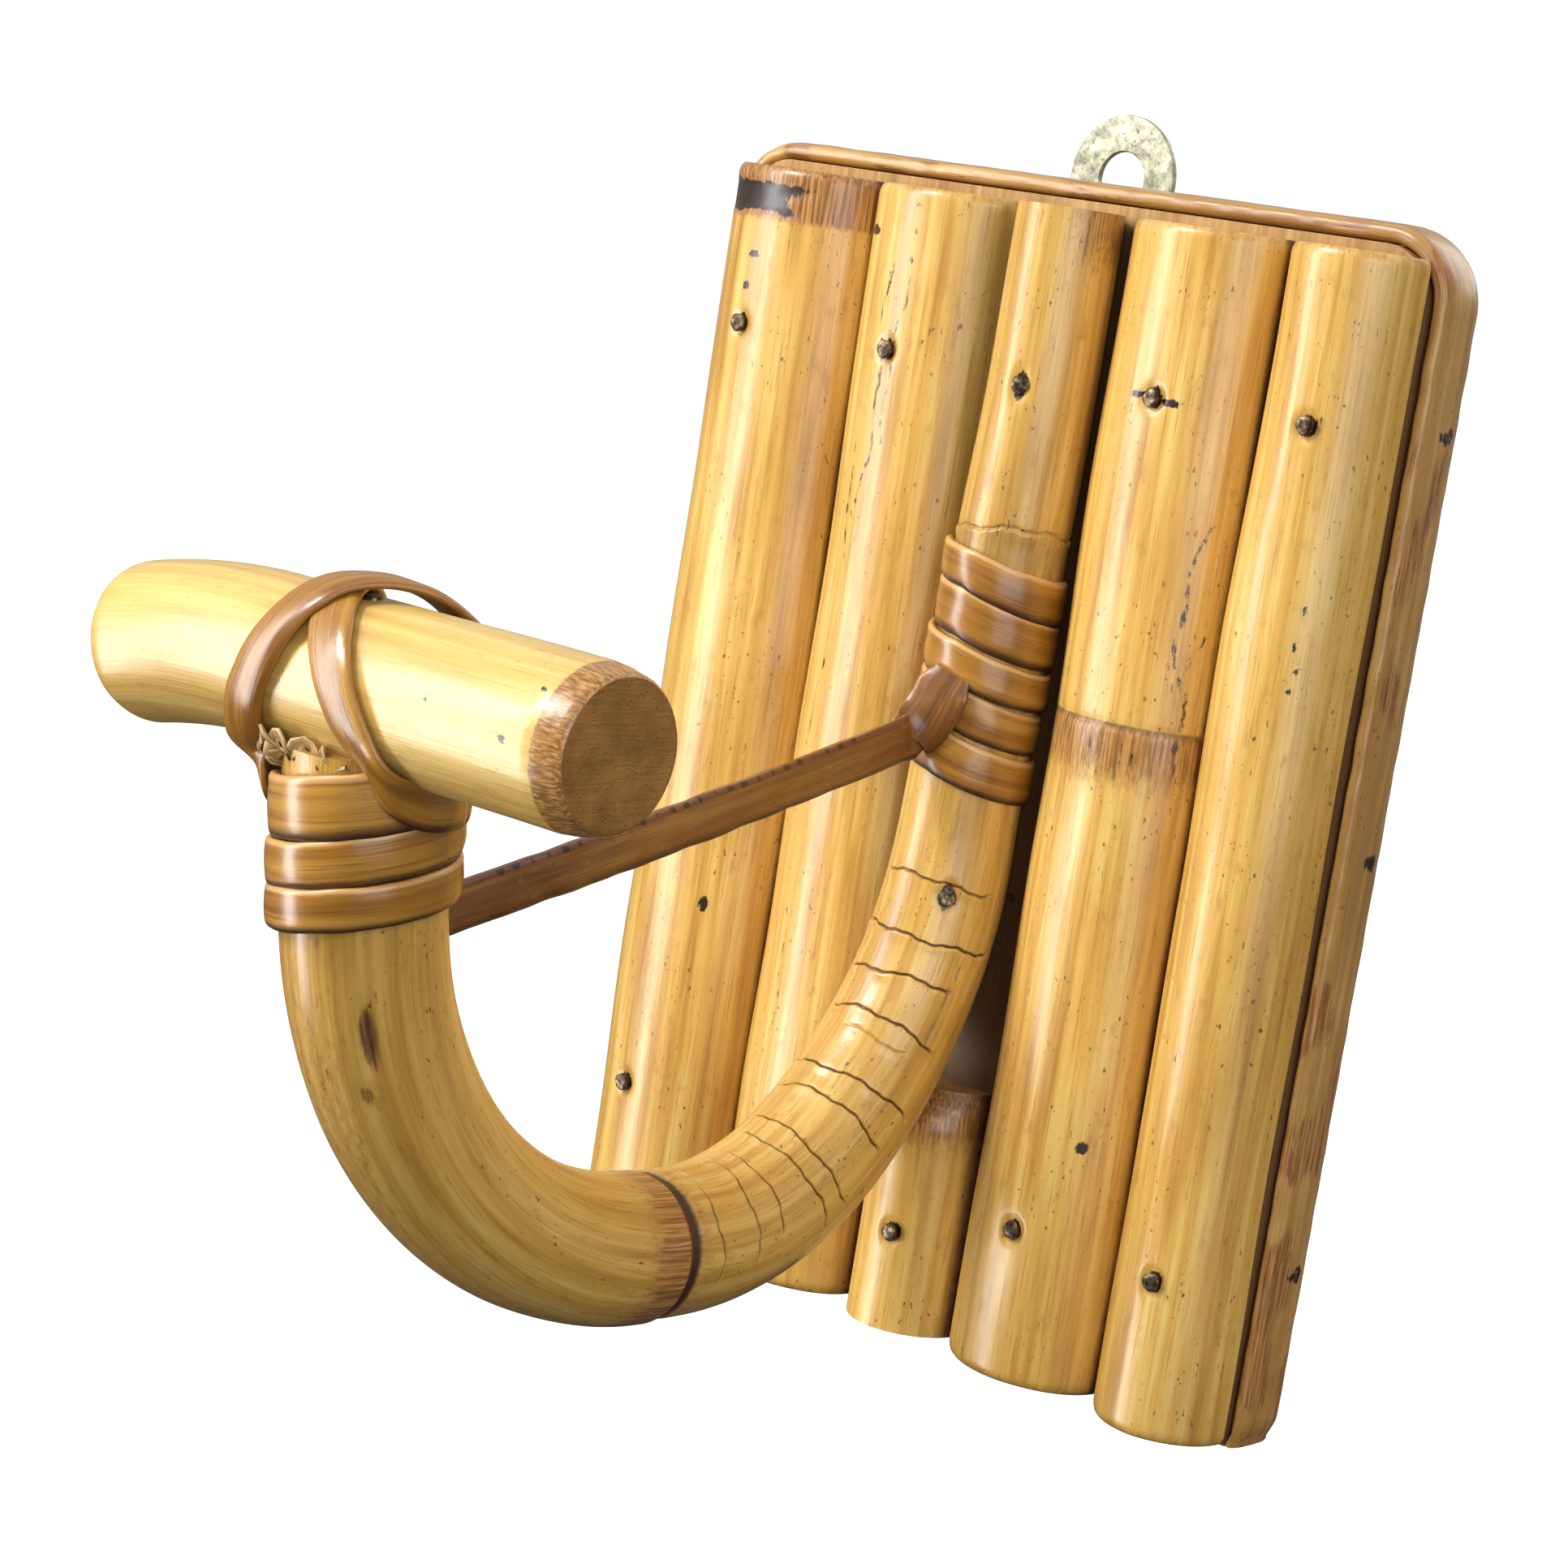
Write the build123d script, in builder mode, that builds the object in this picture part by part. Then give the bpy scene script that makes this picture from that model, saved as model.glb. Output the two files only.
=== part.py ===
"""Wall coat hook of split and bent rattan canes.

Four split canes and a short stub stand side by side on a backing board edged with a bent strip.
A bent cane runs down the middle slot, sweeps out into a U and carries a cross bar on its end.
Bindings of flat peel hold the cross bar, and a strap of peel ties the U back to its shank.

Frame, in millimetres: the origin is the centre of the board's back, which lies on the wall.
+X is to the right seen from the room, -Y points into the room, +Z is up.
"""
import os
from math import asin, cos, degrees, radians, sin, sqrt

from build123d import *

os.makedirs("parts", exist_ok=True)

# Back plate
PLATE_HEIGHT = 184.0
BOARD_DEPTH = 10.0
RIM_WIDTH = 141.0
RIM_THICKNESS = 3.2
RIM_CORNER = 12.0
RIM_END_ROUND = 4.5
BOTTOM_Z = -PLATE_HEIGHT / 2
TOP_Z = PLATE_HEIGHT / 2
FRONT_Y = -BOARD_DEPTH

# Split canes: name, left edge, width, height of the round face above the board
CANE_LENGTH = 179.2
CANE_TOP_Z = BOTTOM_Z + CANE_LENGTH
CANE_END_EASE = 0.6
SPLIT_CANES = [
    ("split_cane_1", -67.1, 31.2, 12.4),
    ("split_cane_2", -35.5, 29.0, 12.0),
    ("split_cane_4", 15.5, 28.5, 12.0),
    ("split_cane_5", 44.4, 22.7, 11.6),
]
SLOT_X = 4.5
STUB_WIDTH = 20.8
STUB_BULGE = 11.0
STUB_HEIGHT = 40.0
STUB_TOP_SLOPE = 4.0

# Bent cane: shank, sweep away from the wall, U bottom, rise to the post
SHANK_R = 8.2
SHANK_Y = FRONT_Y - SHANK_R
SHANK_FOOT_Z = -10.0
SWEEP_ARCS = [(68.0, 48.0), (45.0, 42.0)]
U_FLAT = 6.5
RISE_ARCS = [(64.5, 82.0)]
SEGMENT_RADII = [SHANK_R, 9.3, 10.8, 11.0, 11.0, 11.2, 11.2]
POST_R = SEGMENT_RADII[-1]
POST_TOP_Z = 4.5

# Cross bar
BAR_Z = 12.2
BAR_R = 11.3
BAR_RIGHT_X = 50.5
BAR_LEFT_X = -43.6
BAR_DROOP_X = -13.0
BAR_DROOP_R = 113.0
BAR_BEVEL_LENGTH = 4.6
BAR_BEVEL_DROP = 1.0
BAR_LEFT_ROUND = 4.5
FIT_GAP = 0.05

# Peel bindings
PEEL_THICKNESS = 2.1
PEEL_EDGE = 0.9
SHANK_TURN_R = SHANK_R + PEEL_THICKNESS
POST_TURN_HEIGHT = 6.2
POST_TURN_PITCH = 6.7
POST_TURN_LOW_Z = -17.0
POST_TURN_COUNT = 3
POST_TURN_RISE = 0.19
SHANK_TURN_HEIGHT = 6.7
SHANK_TURN_PITCH = 7.2
SHANK_TURN_LOW_Z = 2.6
SHANK_TURN_COUNT = 5
SHANK_TURN_UP = (0.20, 0.12, 1.0)
LASH_WIDTH = 5.2
LASH_THICKNESS = 1.5
LASH_X = 1.5
UPPER_LASH_TURN = 40.0
LOWER_LASH_TURN = -34.0
TAIL_R = 2.3
TAIL_THICKNESS = 1.2
TAIL_LENGTH = 7.4
TAIL_X = 0.5
TAIL_ANGLE = 45.0
STRAP_WIDTH = 7.2
STRAP_THICKNESS = 2.4
STRAP_EDGE = 0.8
STRAP_POST_END = (7.0, -141.0, -21.0)
STRAP_SHANK_END = (2.5, SHANK_Y, 6.2)

# Nails, pins and hanger
NAIL_R = 0.75
NAIL_HEAD_R = 1.45
NAIL_HEAD_HEIGHT = 0.9
NAIL_DEPTH = 18.0
UPPER_NAIL_Z = 61.3
LOWER_NAIL_Z = -67.9
STUB_NAIL_X = 6.2
STUB_NAIL_Z = -75.9
UPPER_NAIL_X = [-54.2, -22.4, 30.4, 57.6]
LOWER_NAIL_X = [-54.6, -20.0, 30.4, 57.0]
PIN_R = 0.6
PIN_HEAD_R = 1.1
PIN_LENGTH = 11.0
PIN_HEAD_HEIGHT = 0.5
PIN_Y = -3.6
PIN_SIDE_Z = [62.4, -1.0, -64.8]
PIN_TOP_X = [-36.0, 36.0]
HANGER_X = 2.5
HANGER_Z = 93.0
HANGER_R = 10.0
HANGER_HOLE_R = 4.3
HANGER_THICKNESS = 1.2
HANGER_TAB_WIDTH = 13.0
HANGER_TAB_FOOT_Z = 66.0
HANGER_NAIL_Z = [70.0, 77.0]
HANGER_NAIL_DEPTH = 7.0
WALL_NAIL_ROOM_R = 5.0
WALL_NAIL_ROOM_DEPTH = 4.0
SHANK_NAIL = (8.6, 59.6)
BEND_NAIL = (10.9, -20.5)
BEND_NAIL_R = 9.6
HOOK_NAIL_DEPTH = 24.0
BAR_NAIL_DEPTH = 40.0


def nail_axis(x, y, z, direction):
    """Plane at a nail's head seat whose normal points out of the surface."""
    return Plane(origin=(x, y, z), z_dir=direction)


def drive_nail(seat, shaft_r, head_r, head_height, depth):
    """One nail: its shaft below the seat and a low round head on it."""
    with BuildSketch(seat) as shaft_end:
        Circle(shaft_r)
    extrude(shaft_end.sketch, amount=-depth)
    with BuildSketch(seat) as head_foot:
        Circle(head_r)
    extrude(head_foot.sketch, amount=head_height)


def cane_face_y(left, width, bulge, x):
    """Height of a split cane's round face at x, as a Y value."""
    across = (x - left - width / 2) / (width / 2)
    return FRONT_Y - bulge * (1 - across * across) ** 0.5


def head_seats(height, positions):
    """Seats for one nail in each split cane, square to the board."""
    seats = []
    for (name, left, width, bulge), x in zip(SPLIT_CANES, positions):
        y = cane_face_y(left, width, bulge, x) + NAIL_HEAD_HEIGHT / 2
        seats.append(nail_axis(x, y, height, (0, -1, 0)))
    return seats


def arc_chain(start, heading, arcs):
    """Clockwise tangent arcs from a start point; returns the end point and the last heading."""
    for radius, turn in arcs:
        centre_angle = radians(heading - 90)
        centre = (start[0] + radius * cos(centre_angle), start[1] + radius * sin(centre_angle))
        CenterArc(centre, radius, heading + 90, -turn)
        heading -= turn
        end_angle = radians(heading + 90)
        start = (centre[0] + radius * cos(end_angle), centre[1] + radius * sin(end_angle))
    return start, heading


# Bent cane centre line, in the plane x = SLOT_X with local axes Y and Z
with BuildLine(Plane.YZ.offset(SLOT_X)) as hook_line:
    Line((SHANK_Y, CANE_TOP_Z), (SHANK_Y, SHANK_FOOT_Z))
    u_start, heading = arc_chain((SHANK_Y, SHANK_FOOT_Z), -90.0, SWEEP_ARCS)
    u_end = (u_start[0] - U_FLAT, u_start[1])
    Line(u_start, u_end)
    post_foot, heading = arc_chain(u_end, heading, RISE_ARCS)
    post_slope = cos(radians(heading)) / sin(radians(heading))
    Line(post_foot, (post_foot[0] + (POST_TOP_Z - post_foot[1]) * post_slope, POST_TOP_Z))
BAR_Y = post_foot[0] + (BAR_Z - post_foot[1]) * post_slope
POST_LEAN = -270.0 - heading
POST_UP = (0, sin(radians(POST_LEAN)), cos(radians(POST_LEAN)))


def post_point(z):
    """Point on the post's axis at height z."""
    return (SLOT_X, post_foot[0] + (z - post_foot[1]) * post_slope, z)


# Nails
with BuildPart() as upper_cane_nails:
    for seat in head_seats(UPPER_NAIL_Z, UPPER_NAIL_X):
        drive_nail(seat, NAIL_R, NAIL_HEAD_R, NAIL_HEAD_HEIGHT, NAIL_DEPTH)
upper_cane_nails.part.label = "upper_cane_nails"

with BuildPart() as lower_cane_nails:
    for seat in head_seats(LOWER_NAIL_Z, LOWER_NAIL_X):
        drive_nail(seat, NAIL_R, NAIL_HEAD_R, NAIL_HEAD_HEIGHT, NAIL_DEPTH)
lower_cane_nails.part.label = "lower_cane_nails"

with BuildPart() as stub_nail:
    stub_face_y = FRONT_Y - STUB_BULGE + NAIL_HEAD_HEIGHT / 2
    drive_nail(
        nail_axis(STUB_NAIL_X, stub_face_y, STUB_NAIL_Z, (0, -1, 0)),
        NAIL_R, NAIL_HEAD_R, NAIL_HEAD_HEIGHT, NAIL_DEPTH,
    )
stub_nail.part.label = "stub_nail"

# Two nails hold the bent cane to the board: one through the shank, one where it leaves the wall
sweep_r = SWEEP_ARCS[0][0]
bend_nail_axis_y = SHANK_Y - sweep_r + sqrt(sweep_r**2 - (BEND_NAIL[1] - SHANK_FOOT_Z) ** 2)
with BuildPart() as hook_nails:
    for (x, z), centre_y, radius in (
        (SHANK_NAIL, SHANK_Y, SHANK_R),
        (BEND_NAIL, bend_nail_axis_y, BEND_NAIL_R),
    ):
        seat_y = centre_y - sqrt(radius**2 - (x - SLOT_X) ** 2) + NAIL_HEAD_HEIGHT / 2
        seat = nail_axis(x, seat_y, z, (0, -1, 0))
        drive_nail(seat, NAIL_R, NAIL_HEAD_R, NAIL_HEAD_HEIGHT, HOOK_NAIL_DEPTH)
hook_nails.part.label = "hook_nails"

# The bar nail runs down through the cross bar into the post's end grain
with BuildPart() as bar_nail:
    seat_point = [a + b * (BAR_R - NAIL_HEAD_HEIGHT / 2) for a, b in zip((SLOT_X, BAR_Y, BAR_Z), POST_UP)]
    drive_nail(nail_axis(*seat_point, POST_UP), NAIL_R, NAIL_HEAD_R, NAIL_HEAD_HEIGHT, BAR_NAIL_DEPTH)
bar_nail.part.label = "bar_nail"

# Rim pins: small brads through the strip into the board's edges
with BuildPart() as rim_pins:
    pin_seats = [nail_axis(RIM_WIDTH / 2 - PIN_HEAD_HEIGHT, PIN_Y, z, (1, 0, 0)) for z in PIN_SIDE_Z]
    pin_seats += [nail_axis(PIN_HEAD_HEIGHT - RIM_WIDTH / 2, PIN_Y, z, (-1, 0, 0)) for z in PIN_SIDE_Z]
    pin_seats += [nail_axis(x, PIN_Y, TOP_Z - PIN_HEAD_HEIGHT, (0, 0, 1)) for x in PIN_TOP_X]
    for seat in pin_seats:
        drive_nail(seat, PIN_R, PIN_HEAD_R, PIN_HEAD_HEIGHT, PIN_LENGTH)
rim_pins.part.label = "rim_pins"

# Hanger: a flat ring on a tab, let into the board's back, and its two nails
with BuildPart() as hanger_nails:
    for z in HANGER_NAIL_Z:
        drive_nail(
            nail_axis(HANGER_X, -PIN_HEAD_HEIGHT, z, (0, 1, 0)),
            PIN_R, NAIL_HEAD_R, PIN_HEAD_HEIGHT, HANGER_NAIL_DEPTH,
        )
hanger_nails.part.label = "hanger_nails"


def hanger_outline():
    """Ring and tab of the hanger as seen from the back, without its hole."""
    with Locations((HANGER_X, HANGER_Z)):
        Circle(HANGER_R)
    tab_height = HANGER_Z - HANGER_TAB_FOOT_Z
    with Locations((HANGER_X, HANGER_Z - tab_height / 2)):
        Rectangle(HANGER_TAB_WIDTH, tab_height)


hanger_front = Plane(origin=(0, -HANGER_THICKNESS, 0), x_dir=(1, 0, 0), z_dir=(0, -1, 0))
with BuildPart() as hanger:
    with BuildSketch(hanger_front):
        hanger_outline()
        with Locations((HANGER_X, HANGER_Z)):
            Circle(HANGER_HOLE_R, mode=Mode.SUBTRACT)
    extrude(amount=-HANGER_THICKNESS)
    add(hanger_nails.part, mode=Mode.SUBTRACT)
hanger.part.label = "hanger"

# Space cut for the hanger in the plate's back, deeper behind its hole for the head of a wall nail
with BuildPart() as hanger_recess:
    with BuildSketch(hanger_front):
        hanger_outline()
    extrude(amount=-HANGER_THICKNESS)
    with BuildSketch(hanger_front):
        with Locations((HANGER_X, HANGER_Z)):
            Circle(WALL_NAIL_ROOM_R)
    extrude(amount=WALL_NAIL_ROOM_DEPTH)

# Board and rim
face_plane = Plane(origin=(0, FRONT_Y, 0), x_dir=(1, 0, 0), z_dir=(0, -1, 0))
with BuildPart() as backing_board:
    with BuildSketch(face_plane):
        with Locations((0, -RIM_THICKNESS / 2)):
            Rectangle(RIM_WIDTH - 2 * RIM_THICKNESS, PLATE_HEIGHT - RIM_THICKNESS)
    extrude(amount=-BOARD_DEPTH)
    top_corners = backing_board.edges().filter_by(Axis.Y).group_by(Axis.Z)[-1]
    fillet(top_corners, RIM_CORNER - RIM_THICKNESS)
    add(hanger_recess.part, mode=Mode.SUBTRACT)
    for nails in (upper_cane_nails, lower_cane_nails, stub_nail, hook_nails, rim_pins, hanger_nails):
        add(nails.part, mode=Mode.SUBTRACT)
backing_board.part.label = "backing_board"

with BuildPart() as edge_rim:
    with BuildSketch(face_plane):
        Rectangle(RIM_WIDTH, PLATE_HEIGHT)
    extrude(amount=-BOARD_DEPTH)
    outer_corners = edge_rim.edges().filter_by(Axis.Y).group_by(Axis.Z)
    fillet(outer_corners[-1], RIM_CORNER)
    with BuildSketch(face_plane):
        with Locations((0, -RIM_THICKNESS / 2)):
            inner = Rectangle(RIM_WIDTH - 2 * RIM_THICKNESS, PLATE_HEIGHT - RIM_THICKNESS)
        fillet(inner.vertices().group_by(Axis.Y)[-1], RIM_CORNER - RIM_THICKNESS)
    extrude(amount=-BOARD_DEPTH, mode=Mode.SUBTRACT)
    foot_edges = edge_rim.edges().filter_by(Axis.Y).group_by(Axis.Z)[0].sort_by(Axis.X)
    fillet([foot_edges[0], foot_edges[-1]], RIM_END_ROUND / 2)
    add(rim_pins.part, mode=Mode.SUBTRACT)
    add(hanger_recess.part, mode=Mode.SUBTRACT)
edge_rim.part.label = "edge_rim"


def half_cane(centre_x, width, bulge, length):
    """Split cane lying on the board: half an ellipse in plan, standing on the plate's foot."""
    with BuildSketch(Plane.XY.offset(BOTTOM_Z)) as end_face:
        with Locations((centre_x, FRONT_Y)):
            Ellipse(width / 2, bulge)
        with Locations((centre_x, FRONT_Y + bulge)):
            Rectangle(width, 2 * bulge, mode=Mode.SUBTRACT)
    extrude(end_face.sketch, amount=length)


split_canes = []
for name, left, width, bulge in SPLIT_CANES:
    with BuildPart() as split_cane:
        half_cane(left + width / 2, width, bulge, CANE_LENGTH)
        chamfer(split_cane.edges().filter_by(GeomType.ELLIPSE), CANE_END_EASE)
        add(upper_cane_nails.part, mode=Mode.SUBTRACT)
        add(lower_cane_nails.part, mode=Mode.SUBTRACT)
    split_cane.part.label = name
    split_canes.append(split_cane.part)

with BuildPart() as short_stub:
    half_cane(SLOT_X, STUB_WIDTH, STUB_BULGE, STUB_HEIGHT)
    top_edge = short_stub.edges().filter_by(GeomType.ELLIPSE).group_by(Axis.Z)[-1]
    chamfer(top_edge, STUB_TOP_SLOPE)
    add(stub_nail.part, mode=Mode.SUBTRACT)
short_stub.part.label = "short_stub"

# Cross bar: straight, with a bevelled right end, and its left end drooping on a long arc
with BuildPart() as bar_blank:
    with BuildLine(Plane.XZ.offset(-BAR_Y)) as bar_line:
        droop = degrees(asin((BAR_DROOP_X - BAR_LEFT_X) / BAR_DROOP_R))
        Line((BAR_RIGHT_X - BAR_BEVEL_LENGTH, BAR_Z), (BAR_DROOP_X, BAR_Z))
        CenterArc((BAR_DROOP_X, BAR_Z - BAR_DROOP_R), BAR_DROOP_R, 90, droop)
    with BuildSketch(Plane(origin=(BAR_RIGHT_X - BAR_BEVEL_LENGTH, BAR_Y, BAR_Z), z_dir=(-1, 0, 0))):
        Circle(BAR_R)
    sweep(path=bar_line.wires()[0])
    fillet(bar_blank.edges().sort_by(Axis.X)[0], BAR_LEFT_ROUND)
    bevel_plane = Plane(origin=(BAR_RIGHT_X - BAR_BEVEL_LENGTH, BAR_Y, BAR_Z), z_dir=(1, 0, 0))
    with BuildSketch(bevel_plane):
        Circle(BAR_R)
    with BuildSketch(bevel_plane.offset(BAR_BEVEL_LENGTH)):
        Circle(BAR_R - BAR_BEVEL_DROP)
    loft()

with BuildPart() as cross_bar:
    add(bar_blank.part)
    add(bar_nail.part, mode=Mode.SUBTRACT)
cross_bar.part.label = "cross_bar"

# Bent cane, thinner at the shank than round the U; its back is shaved flat against the board
with BuildPart() as hook_cane:
    for segment, start_r, end_r in zip(hook_line.edges(), SEGMENT_RADII[:-1], SEGMENT_RADII[1:]):
        with BuildSketch(Plane(origin=segment @ 0, z_dir=segment % 0)):
            Circle(start_r)
        with BuildSketch(Plane(origin=segment @ 1, z_dir=segment % 1)):
            Circle(end_r)
        if segment.geom_type == GeomType.LINE:
            loft()
        else:
            sweep(path=segment, multisection=True)
    add(bar_blank.part, mode=Mode.SUBTRACT)
    with BuildSketch(face_plane):
        Rectangle(RIM_WIDTH, 2 * PLATE_HEIGHT)
    extrude(amount=-BOARD_DEPTH, mode=Mode.SUBTRACT)
    add(hook_nails.part, mode=Mode.SUBTRACT)
    add(bar_nail.part, mode=Mode.SUBTRACT)
hook_cane.part.label = "hook_cane"


def peel_ring(middle, outer_r, height):
    """Solid disc with eased rims; the cane it wraps is cut out of it afterwards."""
    with BuildSketch(middle.offset(-height / 2)) as ring_face:
        Circle(outer_r)
    extrude(ring_face.sketch, amount=height)


# Turns of peel round the post, tilted up towards +X
post_turns = []
for index in range(POST_TURN_COUNT):
    z = POST_TURN_LOW_Z + index * POST_TURN_PITCH
    with BuildPart() as post_turn:
        tilt_up = (-POST_TURN_RISE, POST_UP[1], POST_UP[2])
        peel_ring(Plane(origin=post_point(z), z_dir=tilt_up), POST_R + PEEL_THICKNESS, POST_TURN_HEIGHT)
        fillet(post_turn.edges().filter_by(GeomType.CIRCLE), PEEL_EDGE)
        add(hook_cane.part, mode=Mode.SUBTRACT)
        add(bar_blank.part, mode=Mode.SUBTRACT)
        add(bar_nail.part, mode=Mode.SUBTRACT)
    post_turn.part.label = f"post_turn_{index + 1}"
    post_turns.append(post_turn.part)

# Turns of peel round the shank, cut flat where they meet the board
shank_turns = []
for index in range(SHANK_TURN_COUNT):
    z = SHANK_TURN_LOW_Z + index * SHANK_TURN_PITCH
    with BuildPart() as shank_turn:
        middle = Plane(origin=(SLOT_X, SHANK_Y, z), z_dir=SHANK_TURN_UP)
        peel_ring(middle, SHANK_TURN_R, SHANK_TURN_HEIGHT)
        fillet(shank_turn.edges().filter_by(GeomType.CIRCLE), PEEL_EDGE)
        add(hook_cane.part, mode=Mode.SUBTRACT)
        with BuildSketch(face_plane):
            Rectangle(RIM_WIDTH, PLATE_HEIGHT)
        extrude(amount=-BOARD_DEPTH, mode=Mode.SUBTRACT)
    shank_turn.part.label = f"shank_turn_{index + 1}"
    shank_turns.append(shank_turn.part)

# Clearance round the bound post and the bound shank for what ends against them
with BuildPart() as post_sleeve:
    with BuildSketch(Plane(origin=post_point(POST_TURN_LOW_Z - 3 * POST_TURN_PITCH), z_dir=POST_UP)):
        Circle(POST_R + PEEL_THICKNESS + FIT_GAP)
    extrude(amount=3 * POST_TURN_PITCH + BAR_Z - POST_TURN_LOW_Z)

# Diagonal lashes over the bar: the lower one lies on the bar and the upper one crosses over it
lashes = []
lash_inner_r = BAR_R + FIT_GAP
for name, turn in (("lower_lash", LOWER_LASH_TURN), ("upper_lash", UPPER_LASH_TURN)):
    with BuildPart() as lash:
        with BuildSketch(Plane(origin=(LASH_X - 2 * BAR_R, BAR_Y, BAR_Z), z_dir=(1, 0, 0))):
            Circle(lash_inner_r + LASH_THICKNESS)
            Circle(lash_inner_r, mode=Mode.SUBTRACT)
        extrude(amount=4 * BAR_R)
        slab_up = (cos(radians(turn)), -sin(radians(turn)), 0)
        with BuildSketch(Plane(origin=(LASH_X, BAR_Y, BAR_Z), z_dir=slab_up).offset(-LASH_WIDTH / 2)):
            Rectangle(6 * BAR_R, 6 * BAR_R)
        extrude(amount=LASH_WIDTH, mode=Mode.INTERSECT)
        add(post_sleeve.part, mode=Mode.SUBTRACT)
        add(bar_nail.part, mode=Mode.SUBTRACT)
    lash.part.label = name
    lashes.append(lash.part)
    lash_inner_r += LASH_THICKNESS + FIT_GAP

# Curled tail of the peel, tucked in the notch under the bar's front
tail_reach = BAR_R + TAIL_R + FIT_GAP
tail_origin = (
    TAIL_X - TAIL_LENGTH / 2,
    BAR_Y - tail_reach * cos(radians(TAIL_ANGLE)),
    BAR_Z - tail_reach * sin(radians(TAIL_ANGLE)),
)
with BuildPart() as lash_tail:
    with BuildSketch(Plane(origin=tail_origin, z_dir=(1, 0, 0))):
        Circle(TAIL_R)
        Circle(TAIL_R - TAIL_THICKNESS, mode=Mode.SUBTRACT)
    extrude(amount=TAIL_LENGTH)
    add(post_sleeve.part, mode=Mode.SUBTRACT)
lash_tail.part.label = "lash_tail"

# Brace strap from the post's lowest turn up to the bound shank
with BuildPart() as brace_strap:
    strap_run = Vector(*STRAP_SHANK_END) - Vector(*STRAP_POST_END)
    strap_across = Vector(0, 0, 1).cross(strap_run).normalized()
    strap_end = Plane(origin=STRAP_POST_END, x_dir=strap_across, z_dir=strap_run)
    with BuildSketch(strap_end):
        RectangleRounded(STRAP_THICKNESS, STRAP_WIDTH, STRAP_EDGE)
    extrude(amount=strap_run.length)
    add(post_sleeve.part, mode=Mode.SUBTRACT)
    with BuildSketch(Plane.XY.offset(-STRAP_WIDTH)):
        with Locations((SLOT_X, SHANK_Y)):
            Circle(SHANK_TURN_R + FIT_GAP)
    extrude(amount=4 * STRAP_WIDTH, mode=Mode.SUBTRACT)
    for turn_part in post_turns + shank_turns:
        add(turn_part, mode=Mode.SUBTRACT)
brace_strap.part.label = "brace_strap"


def export_all(parts):
    """One STEP file for each labelled part."""
    for part in parts:
        export_step(part, f"parts/{part.label}.step")


export_all([backing_board.part, edge_rim.part, short_stub.part, cross_bar.part, hook_cane.part])
export_all([upper_cane_nails.part, lower_cane_nails.part, stub_nail.part, hook_nails.part])
export_all([bar_nail.part, rim_pins.part, hanger.part, hanger_nails.part])
export_all([brace_strap.part, lash_tail.part])
export_all(split_canes + post_turns + shank_turns + lashes)
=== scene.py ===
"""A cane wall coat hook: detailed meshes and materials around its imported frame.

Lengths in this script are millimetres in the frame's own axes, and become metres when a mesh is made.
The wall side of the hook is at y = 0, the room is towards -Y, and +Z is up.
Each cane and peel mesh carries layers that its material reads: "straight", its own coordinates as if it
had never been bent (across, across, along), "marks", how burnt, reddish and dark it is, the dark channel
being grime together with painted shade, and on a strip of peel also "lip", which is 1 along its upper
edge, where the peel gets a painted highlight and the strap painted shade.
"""

import bpy
import numpy as np
from mathutils import Matrix, Vector, noise


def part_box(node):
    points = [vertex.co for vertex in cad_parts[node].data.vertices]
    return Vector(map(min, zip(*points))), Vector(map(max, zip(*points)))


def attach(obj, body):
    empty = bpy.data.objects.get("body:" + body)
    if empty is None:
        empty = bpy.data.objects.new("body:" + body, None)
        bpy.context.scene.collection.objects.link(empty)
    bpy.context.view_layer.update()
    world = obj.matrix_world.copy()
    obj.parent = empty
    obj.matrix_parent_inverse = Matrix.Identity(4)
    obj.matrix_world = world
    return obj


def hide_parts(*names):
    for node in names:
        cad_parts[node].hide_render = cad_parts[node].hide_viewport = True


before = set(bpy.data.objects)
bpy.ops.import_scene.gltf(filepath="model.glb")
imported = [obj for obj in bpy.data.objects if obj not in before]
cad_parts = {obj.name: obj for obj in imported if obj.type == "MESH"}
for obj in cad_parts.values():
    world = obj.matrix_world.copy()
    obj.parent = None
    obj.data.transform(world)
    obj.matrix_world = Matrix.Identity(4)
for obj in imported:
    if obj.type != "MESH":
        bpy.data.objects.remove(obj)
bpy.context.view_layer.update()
MM = 0.001


def corners(node):
    """The node's lowest and highest corners at rest, in mm."""
    return [np.array(corner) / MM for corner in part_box(node)]



# Plate, read from the frame
BOARD_LOW, BOARD_HIGH = corners("backing_board")
RIM_LOW, RIM_HIGH = corners("edge_rim")
FRONT_Y = BOARD_LOW[1]
FOOT_Z = RIM_LOW[2]
TOP_Z = RIM_HIGH[2]
RIM_THICKNESS = RIM_HIGH[0] - BOARD_HIGH[0]
RIM_CORNER = 12.0

# Bent cane: its centre line and radii, from the shank's top to the post's end
SLOT_X = 4.5
SHANK_R = 8.2
SHANK_Y = FRONT_Y - SHANK_R
SHANK_FOOT_Z = -10.0
SHANK_LEAN = 2.6
CANE_TOP_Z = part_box("hook_cane")[1].z / MM
SWEEP_ARCS = [(68.0, 48.0), (45.0, 42.0)]
U_FLAT = 6.5
RISE_ARC = (64.5, 82.0)
POST_TOP_Z = 4.5
HOOK_RADII = [SHANK_R, 9.3, 10.8, 11.0, 11.0, 11.2, 11.2]
POST_R = HOOK_RADII[-1]

# Cross bar
BAR_Z = 12.2
BAR_R = 11.3
BAR_RIGHT_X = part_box("cross_bar")[1].x / MM
BAR_DROOP_X = -13.0
BAR_DROOP_R = 113.0
BAR_BEVEL = 4.6

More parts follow.
